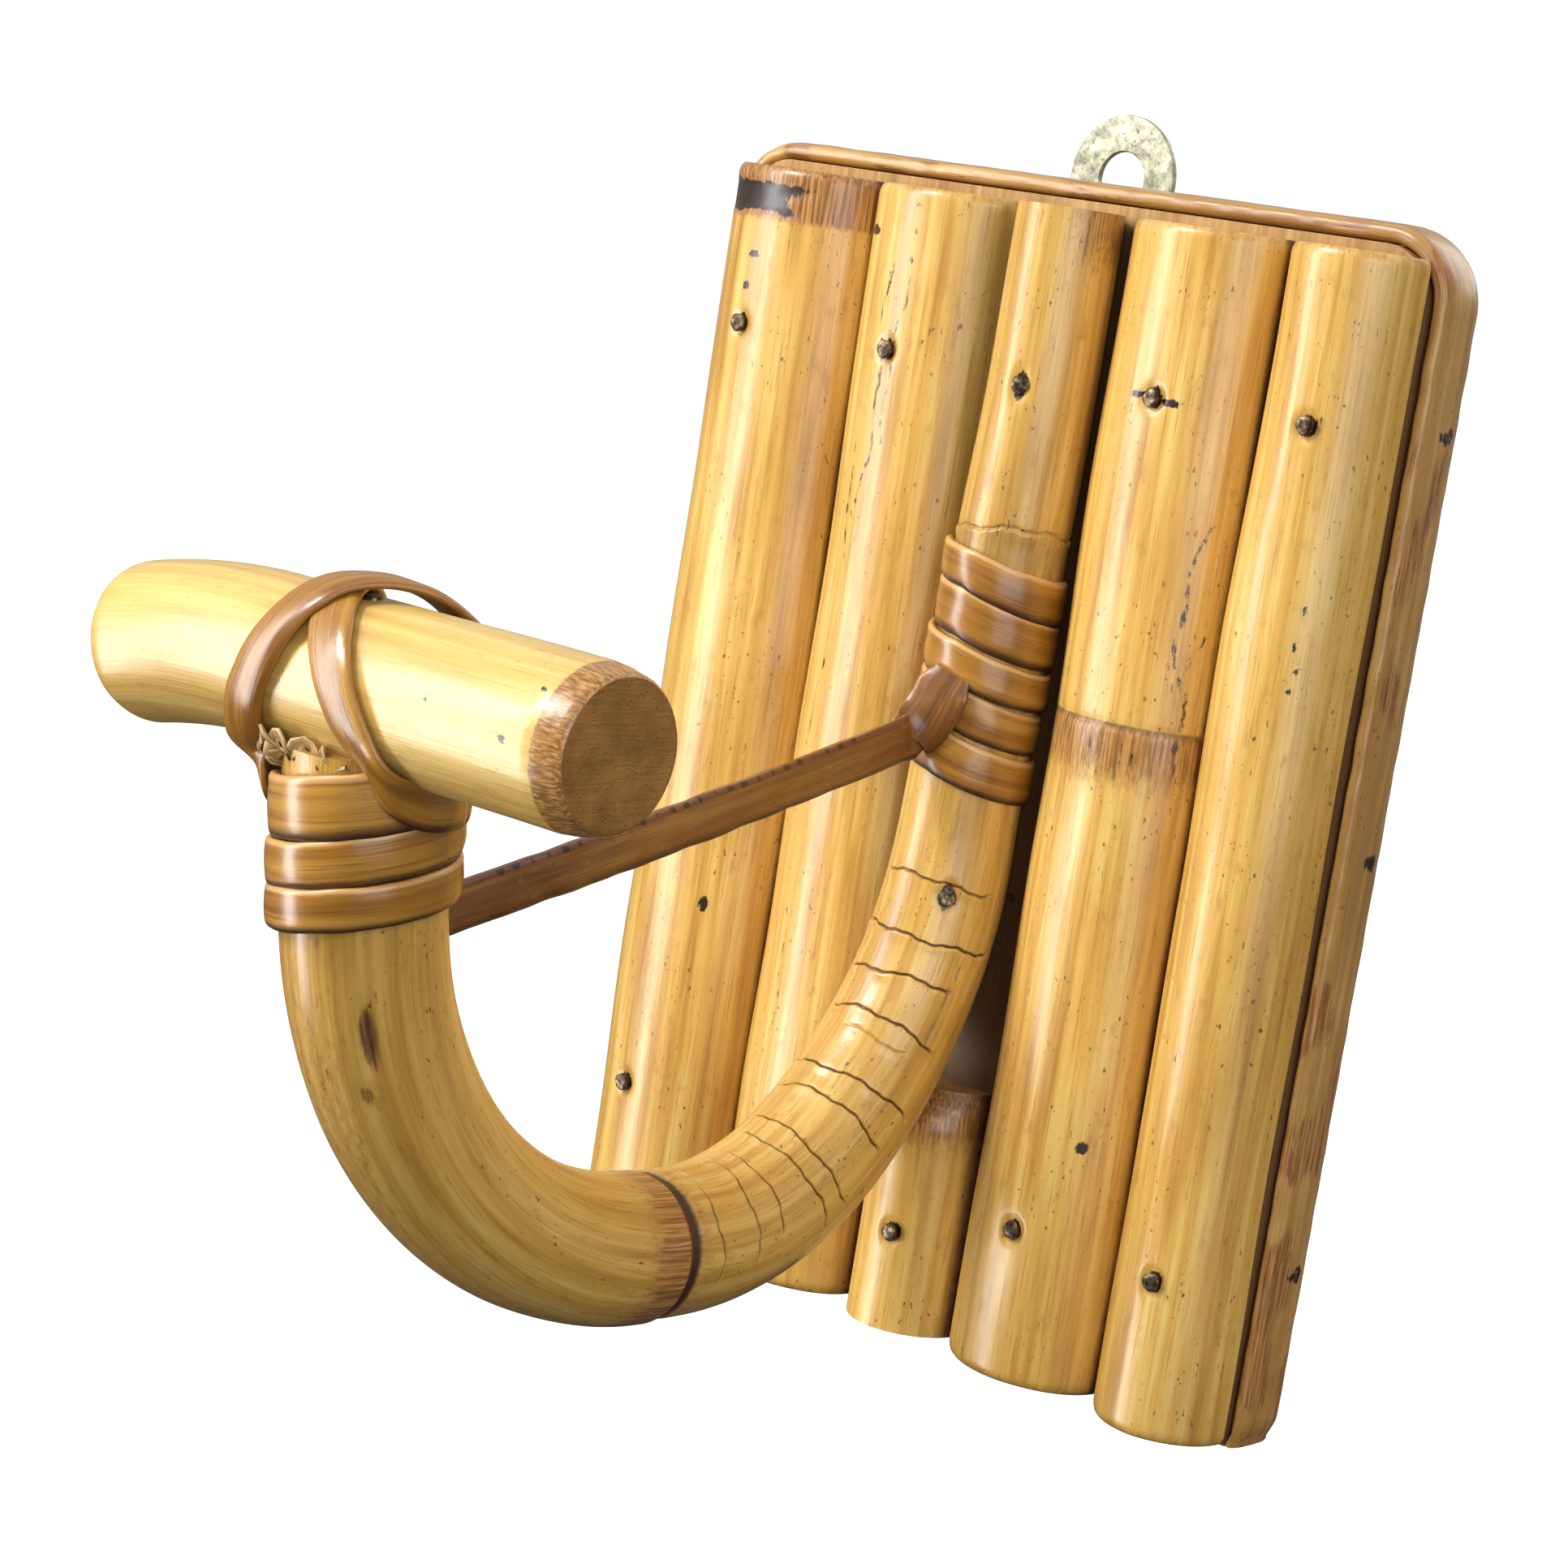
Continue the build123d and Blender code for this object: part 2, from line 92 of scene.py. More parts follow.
# Camera
CAMERA_PLACE = (346.6, -457.5, 79.1)
CAMERA_TURN = 40.79
CAMERA_DIP = 8.87
CAMERA_ROLL = 8.82
LENS = 82.3
SENSOR = 36.0


# Floor
FLOOR_Z = -550.0
FLOOR_R = 9000.0
FLOOR_SIDES = 96

# Nails: (distance, angle) on the bent cane, (x, z) on the stub, and how deep each kind is driven
HOOK_NAILS = [(27.4, -76.0), (108.2, -48.0)]
STUB_NAIL = (6.2, -75.9)
CANE_NAIL_DEPTH = 18.0
HOOK_NAIL_DEPTH = 22.0
BAR_NAIL_DEPTH = 36.0
RIM_PIN_DEPTH = 10.0
HANGER_NAIL_DEPTH = 6.5
HANGER_NAIL_Z = (70.0, 77.0)
NAIL_SIDES = 28

# How far the half-round canes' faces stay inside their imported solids, to leave room for their lumps
SKIN_INSET = 0.35

# Kinds of mark, in the order of the layer's channels; the third is grime together with painted shade
BURNT, RED, GRIME_AND_SHADE = 0, 1, 2

# How far the noise, the canes' grain and the strips' grain move from one seed to the next
NOISE_SHIFT = np.array([17.3, 5.1, 9.7])
CANE_SHIFT = np.array([37.0, 11.0, 23.0])
STRIP_SHIFT = np.array([3.0, 7.0, 41.0])


# ---------------------------------------------------------------- mesh tools
def wobble(points, size, seed):
    """Smooth noise from -1 to 1 at each point; size is the width of its lumps in mm."""
    flat = np.asarray(points, float).reshape(-1, 3) / size
    values = [noise.noise(Vector(p)) for p in flat + NOISE_SHIFT * seed]
    return np.array(values).reshape(np.shape(points)[:-1])


def smoothstep(low, high, value):
    """0 below low, 1 above high, smooth between."""
    t = np.clip((np.asarray(value, float) - low) / (high - low), 0, 1)
    return t * t * (3 - 2 * t)


def falloff(low, high, value):
    """1 below low, 0 above high, smooth between."""
    return 1 - smoothstep(low, high, value)


def stain(marks, kind, strength):
    """Deepens one kind of mark wherever the given strength is higher."""
    marks[..., kind] = np.maximum(marks[..., kind], strength)


def unit(vectors):
    """Each vector at length one."""
    vectors = np.asarray(vectors, float)
    return vectors / np.linalg.norm(vectors, axis=-1, keepdims=True)


def add_layer(mesh, name, kind, field, values):
    """One value of the given kind at each vertex of the mesh."""
    layer = mesh.attributes.new(name, kind, "POINT")
    layer.data.foreach_set(field, np.asarray(values, np.float32).ravel())


def make_piece(name, points, faces, materials, face_slots=None, sharp=50.0):
    """A smooth-shaded mesh object from points in mm."""
    mesh = bpy.data.meshes.new(name)
    mesh.from_pydata([tuple(p) for p in np.asarray(points) * MM], [], faces)
    for material in materials:
        mesh.materials.append(material)
    if face_slots is not None:
        mesh.polygons.foreach_set("material_index", face_slots)
    mesh.shade_smooth()
    mesh.set_sharp_from_angle(angle=np.radians(sharp))
    mesh.update()
    piece = bpy.data.objects.new(name, mesh)
    bpy.context.scene.collection.objects.link(piece)
    return piece


def tube_faces(count, around, base=0, loop=False):
    """Faces between neighbouring rows of points, then one flat cap on each end unless it is a loop."""
    faces = []
    for i in range(count if loop else count - 1):
        a = base + i * around
        b = base + ((i + 1) % count) * around
        for j in range(around):
            k = (j + 1) % around
            faces.append((a + j, a + k, b + k, b + j))
    if not loop:
        faces.append(tuple(range(base + around - 1, base - 1, -1)))
        faces.append(tuple(range(base + (count - 1) * around, base + count * around)))
    return faces


def loft_rows(name, rows, skin, caps=None, straight=None, marks=None, lip=None, loop=False, sharp=50.0):
    """A mesh through closed rows of points, with the layers that its material reads."""
    count, around = rows.shape[:2]
    faces = tube_faces(count, around, loop=loop)
    slots = [0] * len(faces)
    if caps:
        slots[-2:] = [1, 1]
    materials = [skin] + ([caps] if caps else [])
    piece = make_piece(name, rows.reshape(-1, 3), faces, materials, slots, sharp)
    if straight is not None:
        add_layer(piece.data, "straight", "FLOAT_VECTOR", "vector", straight)
    if marks is None:
        marks = np.zeros((count, around, 3))
    alpha = np.ones(marks.shape[:-1] + (1,))
    add_layer(piece.data, "marks", "FLOAT_COLOR", "color", np.concatenate([marks, alpha], -1))
    if lip is not None:
        add_layer(piece.data, "lip", "FLOAT", "value", lip)
    outward_check(piece)
    return piece


def outward_check(piece):
    """Turns the faces over if the closed mesh came out inside out."""
    mesh = piece.data
    volume = 0.0
    for face in mesh.polygons:
        volume += face.center.dot(face.normal) * face.area
    if volume < 0:
        mesh.flip_normals()


def finish_piece(piece, slot, *nodes):
    """The piece rides on the frame and stands for its CAD nodes, which it hides; its slot is not used."""
    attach(piece, "root")
    if nodes:
        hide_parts(*nodes)
    return piece


# ---------------------------------------------------------------- materials
def tone(red, green, blue):
    """A screen colour, 0 to 255, as the shader's linear colour."""
    linear = []
    for level in (red, green, blue):
        c = level / 255
        linear.append(c / 12.92 if c <= 0.04045 else ((c + 0.055) / 1.055) ** 2.4)
    return (*linear, 1.0)


class Shader:
    """A material's node tree, with short calls for the nodes that this script uses."""

    def __init__(self, name):
        self.material = bpy.data.materials.new(name)
        self.material.use_nodes = True
        self.tree = self.material.node_tree
        self.surface = self.tree.nodes["Principled BSDF"]

    def feed(self, socket, value):
        """Sets a socket to a constant, or links another socket to it."""
        if isinstance(value, bpy.types.NodeSocket):
            self.tree.links.new(value, socket)
        else:
            socket.default_value = value

    def math(self, operation, first, second):
        node = self.tree.nodes.new("ShaderNodeMath")
        node.operation = operation
        self.feed(node.inputs[0], first)
        self.feed(node.inputs[1], second)
        return node.outputs[0]

    def times(self, first, second):
        return self.math("MULTIPLY", first, second)

    def plus(self, first, second):
        return self.math("ADD", first, second)

    def mix(self, factor, first, second):
        """A colour between two; inputs 6 and 7 and output 2 are the node's colour sockets."""
        node = self.tree.nodes.new("ShaderNodeMix")
        node.data_type = "RGBA"
        self.feed(node.inputs["Factor"], factor)
        self.feed(node.inputs[6], first)
        self.feed(node.inputs[7], second)
        return node.outputs[2]

    def layer(self, name):
        node = self.tree.nodes.new("ShaderNodeAttribute")
        node.attribute_name = name
        return node

    def object_place(self):
        """The point's place in the frame, in mm."""
        node = self.tree.nodes.new("ShaderNodeTexCoord")
        return self.stretch(node.outputs["Object"], (1 / MM,) * 3)

    def stretch(self, vector, scales):
        node = self.tree.nodes.new("ShaderNodeVectorMath")
        node.operation = "MULTIPLY"
        self.feed(node.inputs[0], vector)
        node.inputs[1].default_value = scales
        return node.outputs[0]

    def noise(self, vector, scales, detail=3.0, roughness=0.55, distortion=0.0):
        """Noise from 0 to 1 with its lumps stretched by 1 / scales mm."""
        node = self.tree.nodes.new("ShaderNodeTexNoise")
        self.feed(node.inputs["Vector"], self.stretch(vector, scales))
        node.inputs["Scale"].default_value = 1.0
        node.inputs["Detail"].default_value = detail
        node.inputs["Roughness"].default_value = roughness
        node.inputs["Distortion"].default_value = distortion
        return node.outputs[0]

    def step(self, value, low, high):
        """0 below low and 1 above high, smooth between."""
        node = self.tree.nodes.new("ShaderNodeMapRange")
        node.interpolation_type = "SMOOTHSTEP"
        self.feed(node.inputs["Value"], value)
        node.inputs["From Min"].default_value = low
        node.inputs["From Max"].default_value = high
        return node.outputs[0]

    def ramp(self, value, *stops):
        """Colours along a value; each stop is (place, colour)."""
        node = self.tree.nodes.new("ShaderNodeValToRGB")
        self.feed(node.inputs[0], value)
        elements = node.color_ramp.elements
        while len(elements) < len(stops):
            elements.new(0.5)
        for element, (place, colour) in zip(elements, stops):
            element.position = place
            element.color = colour
        return node.outputs[0]

    def bump(self, height, depth_mm):
        node = self.tree.nodes.new("ShaderNodeBump")
        node.inputs["Strength"].default_value = 1.0
        node.inputs["Distance"].default_value = depth_mm * MM
        self.feed(node.inputs["Height"], height)
        self.feed(self.surface.inputs["Normal"], node.outputs[0])

    def finish(self, colour, roughness, coat=0.0, coat_roughness=0.15, metallic=0.0, specular=0.5):
        self.feed(self.surface.inputs["Base Color"], colour)
        self.feed(self.surface.inputs["Roughness"], roughness)
        self.surface.inputs["Metallic"].default_value = metallic
        self.surface.inputs["Specular IOR Level"].default_value = specular
        self.surface.inputs["Coat Weight"].default_value = coat
        self.surface.inputs["Coat Roughness"].default_value = coat_roughness
        return self.material


def cane_material(name, dark, middle, light, specks=0.5, streaks=0.6, gloss=0.3, grime=0.5, lip_highlight_and_shadow=None):
    """Varnished cane: lengthwise fibres, drifting tone, fine specks, and the marks of its mesh, whose dark
    channel is grime and painted shade; a lip colour, if given, is painted along a strip's upper edge, a
    highlight when pale and shade when dark.
    """
    s = Shader(name)
    straight = s.layer("straight").outputs["Vector"]
    marks = s.tree.nodes.new("ShaderNodeSeparateColor")
    s.feed(marks.inputs[0], s.layer("marks").outputs["Color"])
    burnt, reddish, grime_and_shade = marks.outputs[0], marks.outputs[1], marks.outputs[2]
    fibre = s.noise(straight, (2.6, 2.6, 0.07), detail=4.0)
    broad_fibre = s.noise(straight, (0.55, 0.55, 0.018), detail=3.0)
    drift = s.noise(straight, (0.10, 0.10, 0.022), detail=3.0)
    blotch = s.noise(straight, (0.42, 0.42, 0.20), detail=4.0, roughness=0.65)
    blend = s.plus(s.times(broad_fibre, streaks), s.times(drift, 1 - streaks))
    colour = s.ramp(blend, (0.30, dark), (0.50, middle), (0.68, light))
    thread = s.step(fibre, 0.54, 0.72)
    colour = s.mix(s.times(thread, 0.6), colour, dark)
    colour = s.mix(s.times(s.step(fibre, 0.44, 0.28), 0.25), colour, light)
    tan = tone(178, 128, 52)
    colour = s.mix(s.times(s.step(blotch, 0.56, 0.74), grime), colour, tan)
    fine = s.noise(straight, (1.5, 1.5, 0.75), detail=2.0, roughness=0.5)
    where = s.noise(straight, (0.16, 0.16, 0.07), detail=2.0)
    speck = s.times(s.step(fine, 0.66, 0.72), s.step(where, 0.42, 0.56))
    colour = s.mix(s.times(speck, specks), colour, tone(92, 52, 18))
    rough_edge = s.noise(straight, (1.3, 1.3, 0.5), detail=4.0, roughness=0.7)
    ragged = s.math("SUBTRACT", rough_edge, 0.5)
    red = s.plus(reddish, s.times(ragged, 1.1))
    scar = s.ramp(fibre, (0.38, tone(104, 54, 22)), (0.50, tone(158, 98, 46)), (0.64, tone(204, 152, 90)))
    colour = s.mix(s.times(s.step(red, 0.25, 0.85), 0.85), colour, scar)
    # The lip colour painted along a strip's upper edge: a painted highlight on the peel, painted shade on the
    # strap
    if lip_highlight_and_shadow:
        lip = s.layer("lip").outputs["Fac"]
        colour = s.mix(s.times(s.step(lip, 0.2, 0.9), 0.75), colour, lip_highlight_and_shadow)
    # Grime and painted shade from the marks, darkening towards deep brown
    shade = s.plus(grime_and_shade, s.times(ragged, 0.35))
    colour = s.mix(s.step(shade, 0.20, 1.05), colour, tone(58, 26, 8))
    char = s.plus(burnt, s.times(ragged, 1.3))
    colour = s.mix(s.step(char, 0.40, 0.62), colour, tone(44, 24, 14))
    relief = s.plus(s.times(fibre, 0.6), s.times(blotch, 0.6))
    s.bump(relief, 0.10)
    rough = s.plus(s.times(blotch, 0.22), gloss - 0.08)
    rough = s.plus(rough, s.times(grime_and_shade, 0.35))
    return s.finish(colour, rough, coat=0.55, coat_roughness=0.22)


def end_grain_material(name, dark, light):
    """Cut end of a solid cane: dense pores in a slightly ringed, oiled face."""
    s = Shader(name)
    straight = s.layer("straight").outputs["Vector"]
    cells = s.tree.nodes.new("ShaderNodeTexVoronoi")
    s.feed(cells.inputs["Vector"], straight)
    cells.inputs["Scale"].default_value = 1.6
    pore = s.step(cells.outputs["Distance"], 0.30, 0.12)
    cloud = s.noise(straight, (0.16, 0.16, 0.16), detail=4.0, roughness=0.6)
    saw = s.noise(straight, (0.12, 2.2, 0.12), detail=2.0)
    colour = s.ramp(s.plus(s.times(cloud, 0.75), s.times(saw, 0.25)),
                    (0.36, dark), (0.62, light))
    colour = s.mix(s.times(pore, 0.35), colour, tone(70, 42, 14))
    s.bump(s.math("SUBTRACT", saw, pore), 0.08)
    return s.finish(colour, 0.42, coat=0.15, coat_roughness=0.3)


def metal_material(name):
    """Galvanised sheet with a grey spangle and small dark specks."""
    s = Shader(name)
    place = s.object_place()
    spangle = s.noise(place, (0.45, 0.45, 0.45), detail=4.0, roughness=0.7)
    speck = s.noise(place, (1.3, 1.3, 1.3), detail=3.0, roughness=0.6)
    colour = s.ramp(
        spangle, (0.34, tone(112, 110, 92)), (0.52, tone(172, 170, 146)), (0.66, tone(208, 206, 184)))
    colour = s.mix(s.times(s.step(speck, 0.60, 0.70), 0.75), colour, tone(78, 72, 58))
    s.bump(spangle, 0.12)
    return s.finish(colour, s.plus(s.times(speck, 0.35), 0.30), metallic=0.55)


def nail_material(name):
    """Dark blued wire nail, worn bright in places."""
    s = Shader(name)
    place = s.object_place()
    wear = s.noise(place, (0.8, 0.8, 0.8), detail=3.0)
    colour = s.ramp(wear, (0.38, tone(38, 26, 18)), (0.52, tone(92, 72, 52)), (0.66, tone(178, 158, 124)))
    s.bump(wear, 0.10)
    return s.finish(colour, 0.42, metallic=0.6)


def board_material(name):
    """Plain thin board, stained by time: straight grain along Z with a few darker bands, and painted shade on
    its front behind the canes.
    """
    s = Shader(name)
    place = s.object_place()
    grain = s.noise(place, (0.9, 0.9, 0.02), detail=5.0, roughness=0.6, distortion=0.3)
    bands = s.noise(place, (0.10, 0.10, 0.006), detail=3.0, distortion=0.8)
    blend = s.plus(s.times(grain, 0.55), s.times(bands, 0.45))
    colour = s.ramp(
        blend, (0.34, tone(150, 104, 52)), (0.50, tone(184, 140, 80)), (0.66, tone(208, 168, 108)))
    height = s.tree.nodes.new("ShaderNodeSeparateXYZ")
    s.feed(height.inputs[0], place)
    # Painted shade: the board's front is dark below the canes' tops, where it shows only in the gaps between
    # them
    shade_behind_canes = s.times(s.step(height.outputs["Z"], 87.5, 84.5), s.step(height.outputs["Y"], -6.0, -9.0))
    colour = s.mix(s.times(shade_behind_canes, 0.85), colour, tone(74, 42, 18))
    s.bump(grain, 0.15)
    return s.finish(colour, 0.62)


CANE = cane_material(
    "split_cane_skin", tone(178, 124, 48), tone(222, 174, 84), tone(242, 208, 124), specks=0.8)
BENT_CANE = cane_material(
    "bent_cane_skin", tone(168, 118, 44), tone(214, 166, 78), tone(238, 200, 116), specks=0.8, grime=0.65)
BAR_CANE = cane_material(
    "bar_cane_skin", tone(206, 158, 72), tone(232, 190, 102), tone(244, 214, 136), specks=0.3, grime=0.3)
# The peel's lip colour is a painted highlight along the upper edge of each turn; the strap's is painted shade
# along its upper edge.
PEEL = cane_material(
    "peel_skin", tone(120, 70, 16), tone(168, 114, 38), tone(206, 154, 66), specks=0.25, gloss=0.26,
    grime=0.3, lip_highlight_and_shadow=tone(226, 176, 112))
STRAP = cane_material(
    "strap_skin", tone(84, 44, 16), tone(134, 84, 34), tone(182, 130, 66), specks=0.7, gloss=0.30,
    lip_highlight_and_shadow=tone(104, 50, 22))
FRAYED = cane_material(
    "frayed_peel", tone(150, 110, 56), tone(206, 172, 116), tone(240, 222, 184), specks=0.6, gloss=0.4)
RIM = cane_material(
    "rim_skin", tone(146, 98, 44), tone(186, 138, 68), tone(212, 170, 104), specks=0.6, gloss=0.34, grime=0.8)
END_GRAIN = end_grain_material("end_grain", tone(128, 84, 30), tone(164, 116, 52))
PALE_END = end_grain_material("pale_end_grain", tone(150, 104, 48), tone(196, 152, 84))
NAIL_STEEL = nail_material("nail_steel")
GALVANISED = metal_material("galvanised_sheet")
BOARD_WOOD = board_material("board_wood")


# ---------------------------------------------------------------- split canes
def spot(x, z, mark_x, mark_z, across, along):
    """1 at a mark's middle, falling to 0 at its edge, which is an ellipse."""
    reach = np.hypot((x - mark_x) / across, (z - mark_z) / along)
    return falloff(0.45, 1.0, reach)


def scratches(x, z, marks):
    """Thin upright scratches; each mark is (x, low z, high z, strength)."""
    found = np.zeros_like(x)
    for k, (mark_x, low, high, strength) in enumerate(marks):
        sway = 0.8 * np.sin(z / 6.3 + 2.1 * k) + 0.4 * np.sin(z / 2.2 + k)
        beside = falloff(0.15, 0.75, np.abs(x - mark_x - sway))
        within = smoothstep(low, low + 3, z) * falloff(high - 3, high, z)
        found = np.maximum(found, strength * beside * within)
    return found


CANE_MARKS = {
    "split_cane_1": {
        "nails": [(-54.2, 61.3), (-54.6, -67.9)],
        "spots": [(-44.0, -34.4, 0.8, 1.6), (-54.0, 67.5, 0.8, 0.8), (-53.2, 72.6, 1.8, 0.5)],
        "scratches": [],
    },
    "split_cane_2": {
        "nails": [(-22.4, 61.3), (-20.0, -67.9)],
        "spots": [(-30.5, 79.5, 2.2, 0.8)],
        "scratches": [(-23.5, 34.0, 78.0, 0.75), (-20.5, 44.0, 82.0, 0.7), (-25.5, 24.0, 50.0, 0.65),
                      (-27.0, -20.0, 16.0, 0.6), (-25.0, -60.0, -28.0, 0.6)],
    },
    "split_cane_4": {
        "nails": [(30.4, 61.3), (30.4, -67.9)],
        "spots": [(27.4, 61.6, 1.4, 0.6), (33.6, 61.0, 2.0, 0.5), (38.8, -52.6, 0.9, 1.0)],
        "scratches": [(40.5, 14.0, 46.0, 0.7), (42.0, 2.0, 30.0, 0.6)],
    },
    "split_cane_5": {
        "nails": [(57.6, 61.3), (57.0, -67.9)],
        "spots": [(61.8, 35.0, 0.1, 0.6), (61.4, 29.5, 0.0, 0.7), (62.0, 26.0, 0.0, 0.4),
                  (61.6, 23.0, 0.1, 0.3)],
        "scratches": [],
    },
}
NODE_Z = 12.0
NODE_FADE_Z = 0.5
BURNT_BAND = (79.5, 84.8)


def cane_rows(left, width, bulge, z_rows, seed, front_count=72, back_count=10):
    """Rows of points up a half-round cane that lies on the board, a little uneven like a real one."""
    turn = np.linspace(-np.pi / 2, np.pi / 2, front_count)
    back = np.linspace(1, -1, back_count + 2)[1:-1]
    section_x = np.concatenate([np.sin(turn), back])
    section_y = np.concatenate([np.cos(turn), np.zeros(back_count)])
    z = np.repeat(z_rows[:, None], len(section_x), 1)
    sway = 0.22 * np.sin(z_rows / 31.0 + seed) + 0.12 * np.sin(z_rows / 12.0 + 2.3 * seed)
    swell = 1 + 0.012 * np.sin(z_rows / 23.0 + 1.7 * seed) + 0.008 * np.sin(z_rows / 9.0 + seed)
    middle = left + width / 2 + sway
    x = middle[:, None] + (width / 2 - SKIN_INSET) * section_x[None, :] * swell[:, None]
    lump = wobble(np.stack([x, section_y[None, :] * 10 + 0 * x, z * 0.35], -1), 7.0, seed) * 0.22
    y = FRONT_Y - (bulge - SKIN_INSET) * section_y[None, :] * swell[:, None] - lump * section_y[None, :]
    return np.stack([x, y, z], -1), section_x, section_y


def ease_ends(rows, middle, ease, low=True, high=True):
    """Draws the last rows in a little, so that the cut ends have worn edges."""
    steps = (0.75, 0.35, 0.1)
    for k, share in enumerate(steps):
        for wanted, index in ((low, k), (high, -1 - k)):
            if wanted:
                row = rows[index]
                row[:, 0] += (middle - row[:, 0]) * share * ease / 14
                row[:, 1] += (FRONT_Y - row[:, 1]) * share * ease / 12
    return rows


def burnt_top(x, z, marks, dent):
    """A charred band on the left, with the cane reddish brown round it; dent grows with it."""
    ragged = z + 1.1 * wobble(np.stack([x, 0 * x, z * 0.4], -1), 3.0, 31)
    band = smoothstep(BURNT_BAND[0] - 0.5, BURNT_BAND[0] + 1, ragged)
    band *= falloff(BURNT_BAND[1] - 1, BURNT_BAND[1] + 0.5, ragged)
    left_part = falloff(-50, -42.5, x + 2.0 * np.sin(z * 1.1))
    stain(marks, BURNT, band * left_part)
    stain(marks, RED, smoothstep(77, 80, z) * 0.95)
    dent += 0.35 * band * left_part


def rough_node(x, z, marks, dent, seed):
    """A raised node scar, combed lengthwise, with a dark lip above; dent grows with it."""
    below = smoothstep(NODE_FADE_Z - 4, NODE_Z - 3, z) * falloff(NODE_Z, NODE_Z + 0.6, z)
    comb = 0.5 + 0.5 * wobble(np.stack([x * 1.0, 0 * x, z * 0.12], -1), 0.9, seed + 5)
    stain(marks, RED, below * (0.6 + 0.4 * comb))
    stain(marks, BURNT, 0.62 * below * smoothstep(0.55, 0.8, comb))
    dent += -0.30 * below + 0.35 * below * comb
    lip = falloff(0.0, 0.9, np.abs(z - NODE_Z))
    stain(marks, GRIME_AND_SHADE, 0.75 * lip)
    dent += 0.35 * lip


def split_cane(name, seed):
    """One half-round cane, with its nail dents, spots, scratches and painted shade down its sides."""
    low, high = corners(name)
    width, bulge = high[0] - low[0], FRONT_Y - low[1]
    z_rows = np.concatenate([[low[2]], np.linspace(low[2] + 0.4, high[2] - 0.4, 300), [high[2]]])
    rows, across, out = cane_rows(low[0], width, bulge, z_rows, seed)
    x, z = rows[..., 0], rows[..., 2]
    marks = np.zeros(rows.shape)
    told = CANE_MARKS[name]
    dent = np.zeros_like(x)
    for nail_x, nail_z in told["nails"]:
        stain(marks, BURNT, 0.8 * spot(x, z, nail_x, nail_z, 2.1, 2.5))
        dent += 0.5 * spot(x, z, nail_x, nail_z, 2.6, 3.0)
    for mark_x, mark_z, wide, tall in told["spots"]:
        stain(marks, BURNT, 0.75 * spot(x, z, mark_x, mark_z, wide + 0.5, tall + 0.5))
    stain(marks, BURNT, 0.75 * scratches(x, z, told["scratches"]))
    # Painted shade down both flanks, where each cane meets the gap to its neighbour, weak on the last cane's
    # right flank, over a faint darkening all over
    side = np.abs(across)[None, :] + 0 * x
    marks[..., GRIME_AND_SHADE] = 0.95 * smoothstep(0.95, 1.0, side) * np.where(x > 62, 0.2, 1.0) + 0.06
    ends = falloff(0, 3.5, np.minimum(z - low[2], high[2] - z))
    stain(marks, RED, 0.45 * ends)
    if name == "split_cane_1":
        burnt_top(x, z, marks, dent)
    if name == "split_cane_4":
        rough_node(x, z, marks, dent, seed)
    rows[..., 1] += np.minimum(dent, 1.2) * out[None, :]
    rows = ease_ends(rows, low[0] + width / 2, 1.0)
    straight = rows + CANE_SHIFT * seed
    piece = loft_rows(name + "_skin", rows, CANE, PALE_END, straight, marks)
    return finish_piece(piece, "cane", name)


def short_stub():
    """The half-round foot of the middle slot, with a rough sloping top."""
    low, high = corners("short_stub")
    width, bulge = high[0] - low[0], FRONT_Y - low[1]
    z_rows = np.concatenate([[low[2]], np.linspace(low[2] + 0.4, high[2], 90)])
    seed = 6
    rows, across, out = cane_rows(low[0], width, bulge, z_rows, seed)
    from_top = high[2] - rows[..., 2]
    drawn = 0.62 + 0.38 * smoothstep(-2.0, 6.5, from_top)
    rows[..., 1] = FRONT_Y + (rows[..., 1] - FRONT_Y) * drawn
    rows[..., 0] = SLOT_X + (rows[..., 0] - SLOT_X) * (0.9 + 0.1 * smoothstep(-1, 3, from_top))
    x, z = rows[..., 0], rows[..., 2]
    marks = np.zeros(rows.shape)
    marks[..., BURNT] = 0.8 * spot(x, z, *STUB_NAIL, 2.1, 2.4)
    marks[..., RED] = falloff(2, 15, from_top)
    # Painted shade down both flanks, as on the canes, and darker towards the rough top
    marks[..., GRIME_AND_SHADE] = np.maximum(0.9 * smoothstep(0.84, 1.0, np.abs(across)[None, :] + 0 * x),
                               0.55 * falloff(0, 9, from_top))
    rows[..., 1] += 0.5 * spot(x, z, *STUB_NAIL, 2.6, 3.0) * out[None, :]
    straight = rows + CANE_SHIFT * seed
    piece = loft_rows("short_stub_skin", rows, CANE, PALE_END, straight, marks)
    return finish_piece(piece, "cane", "short_stub")


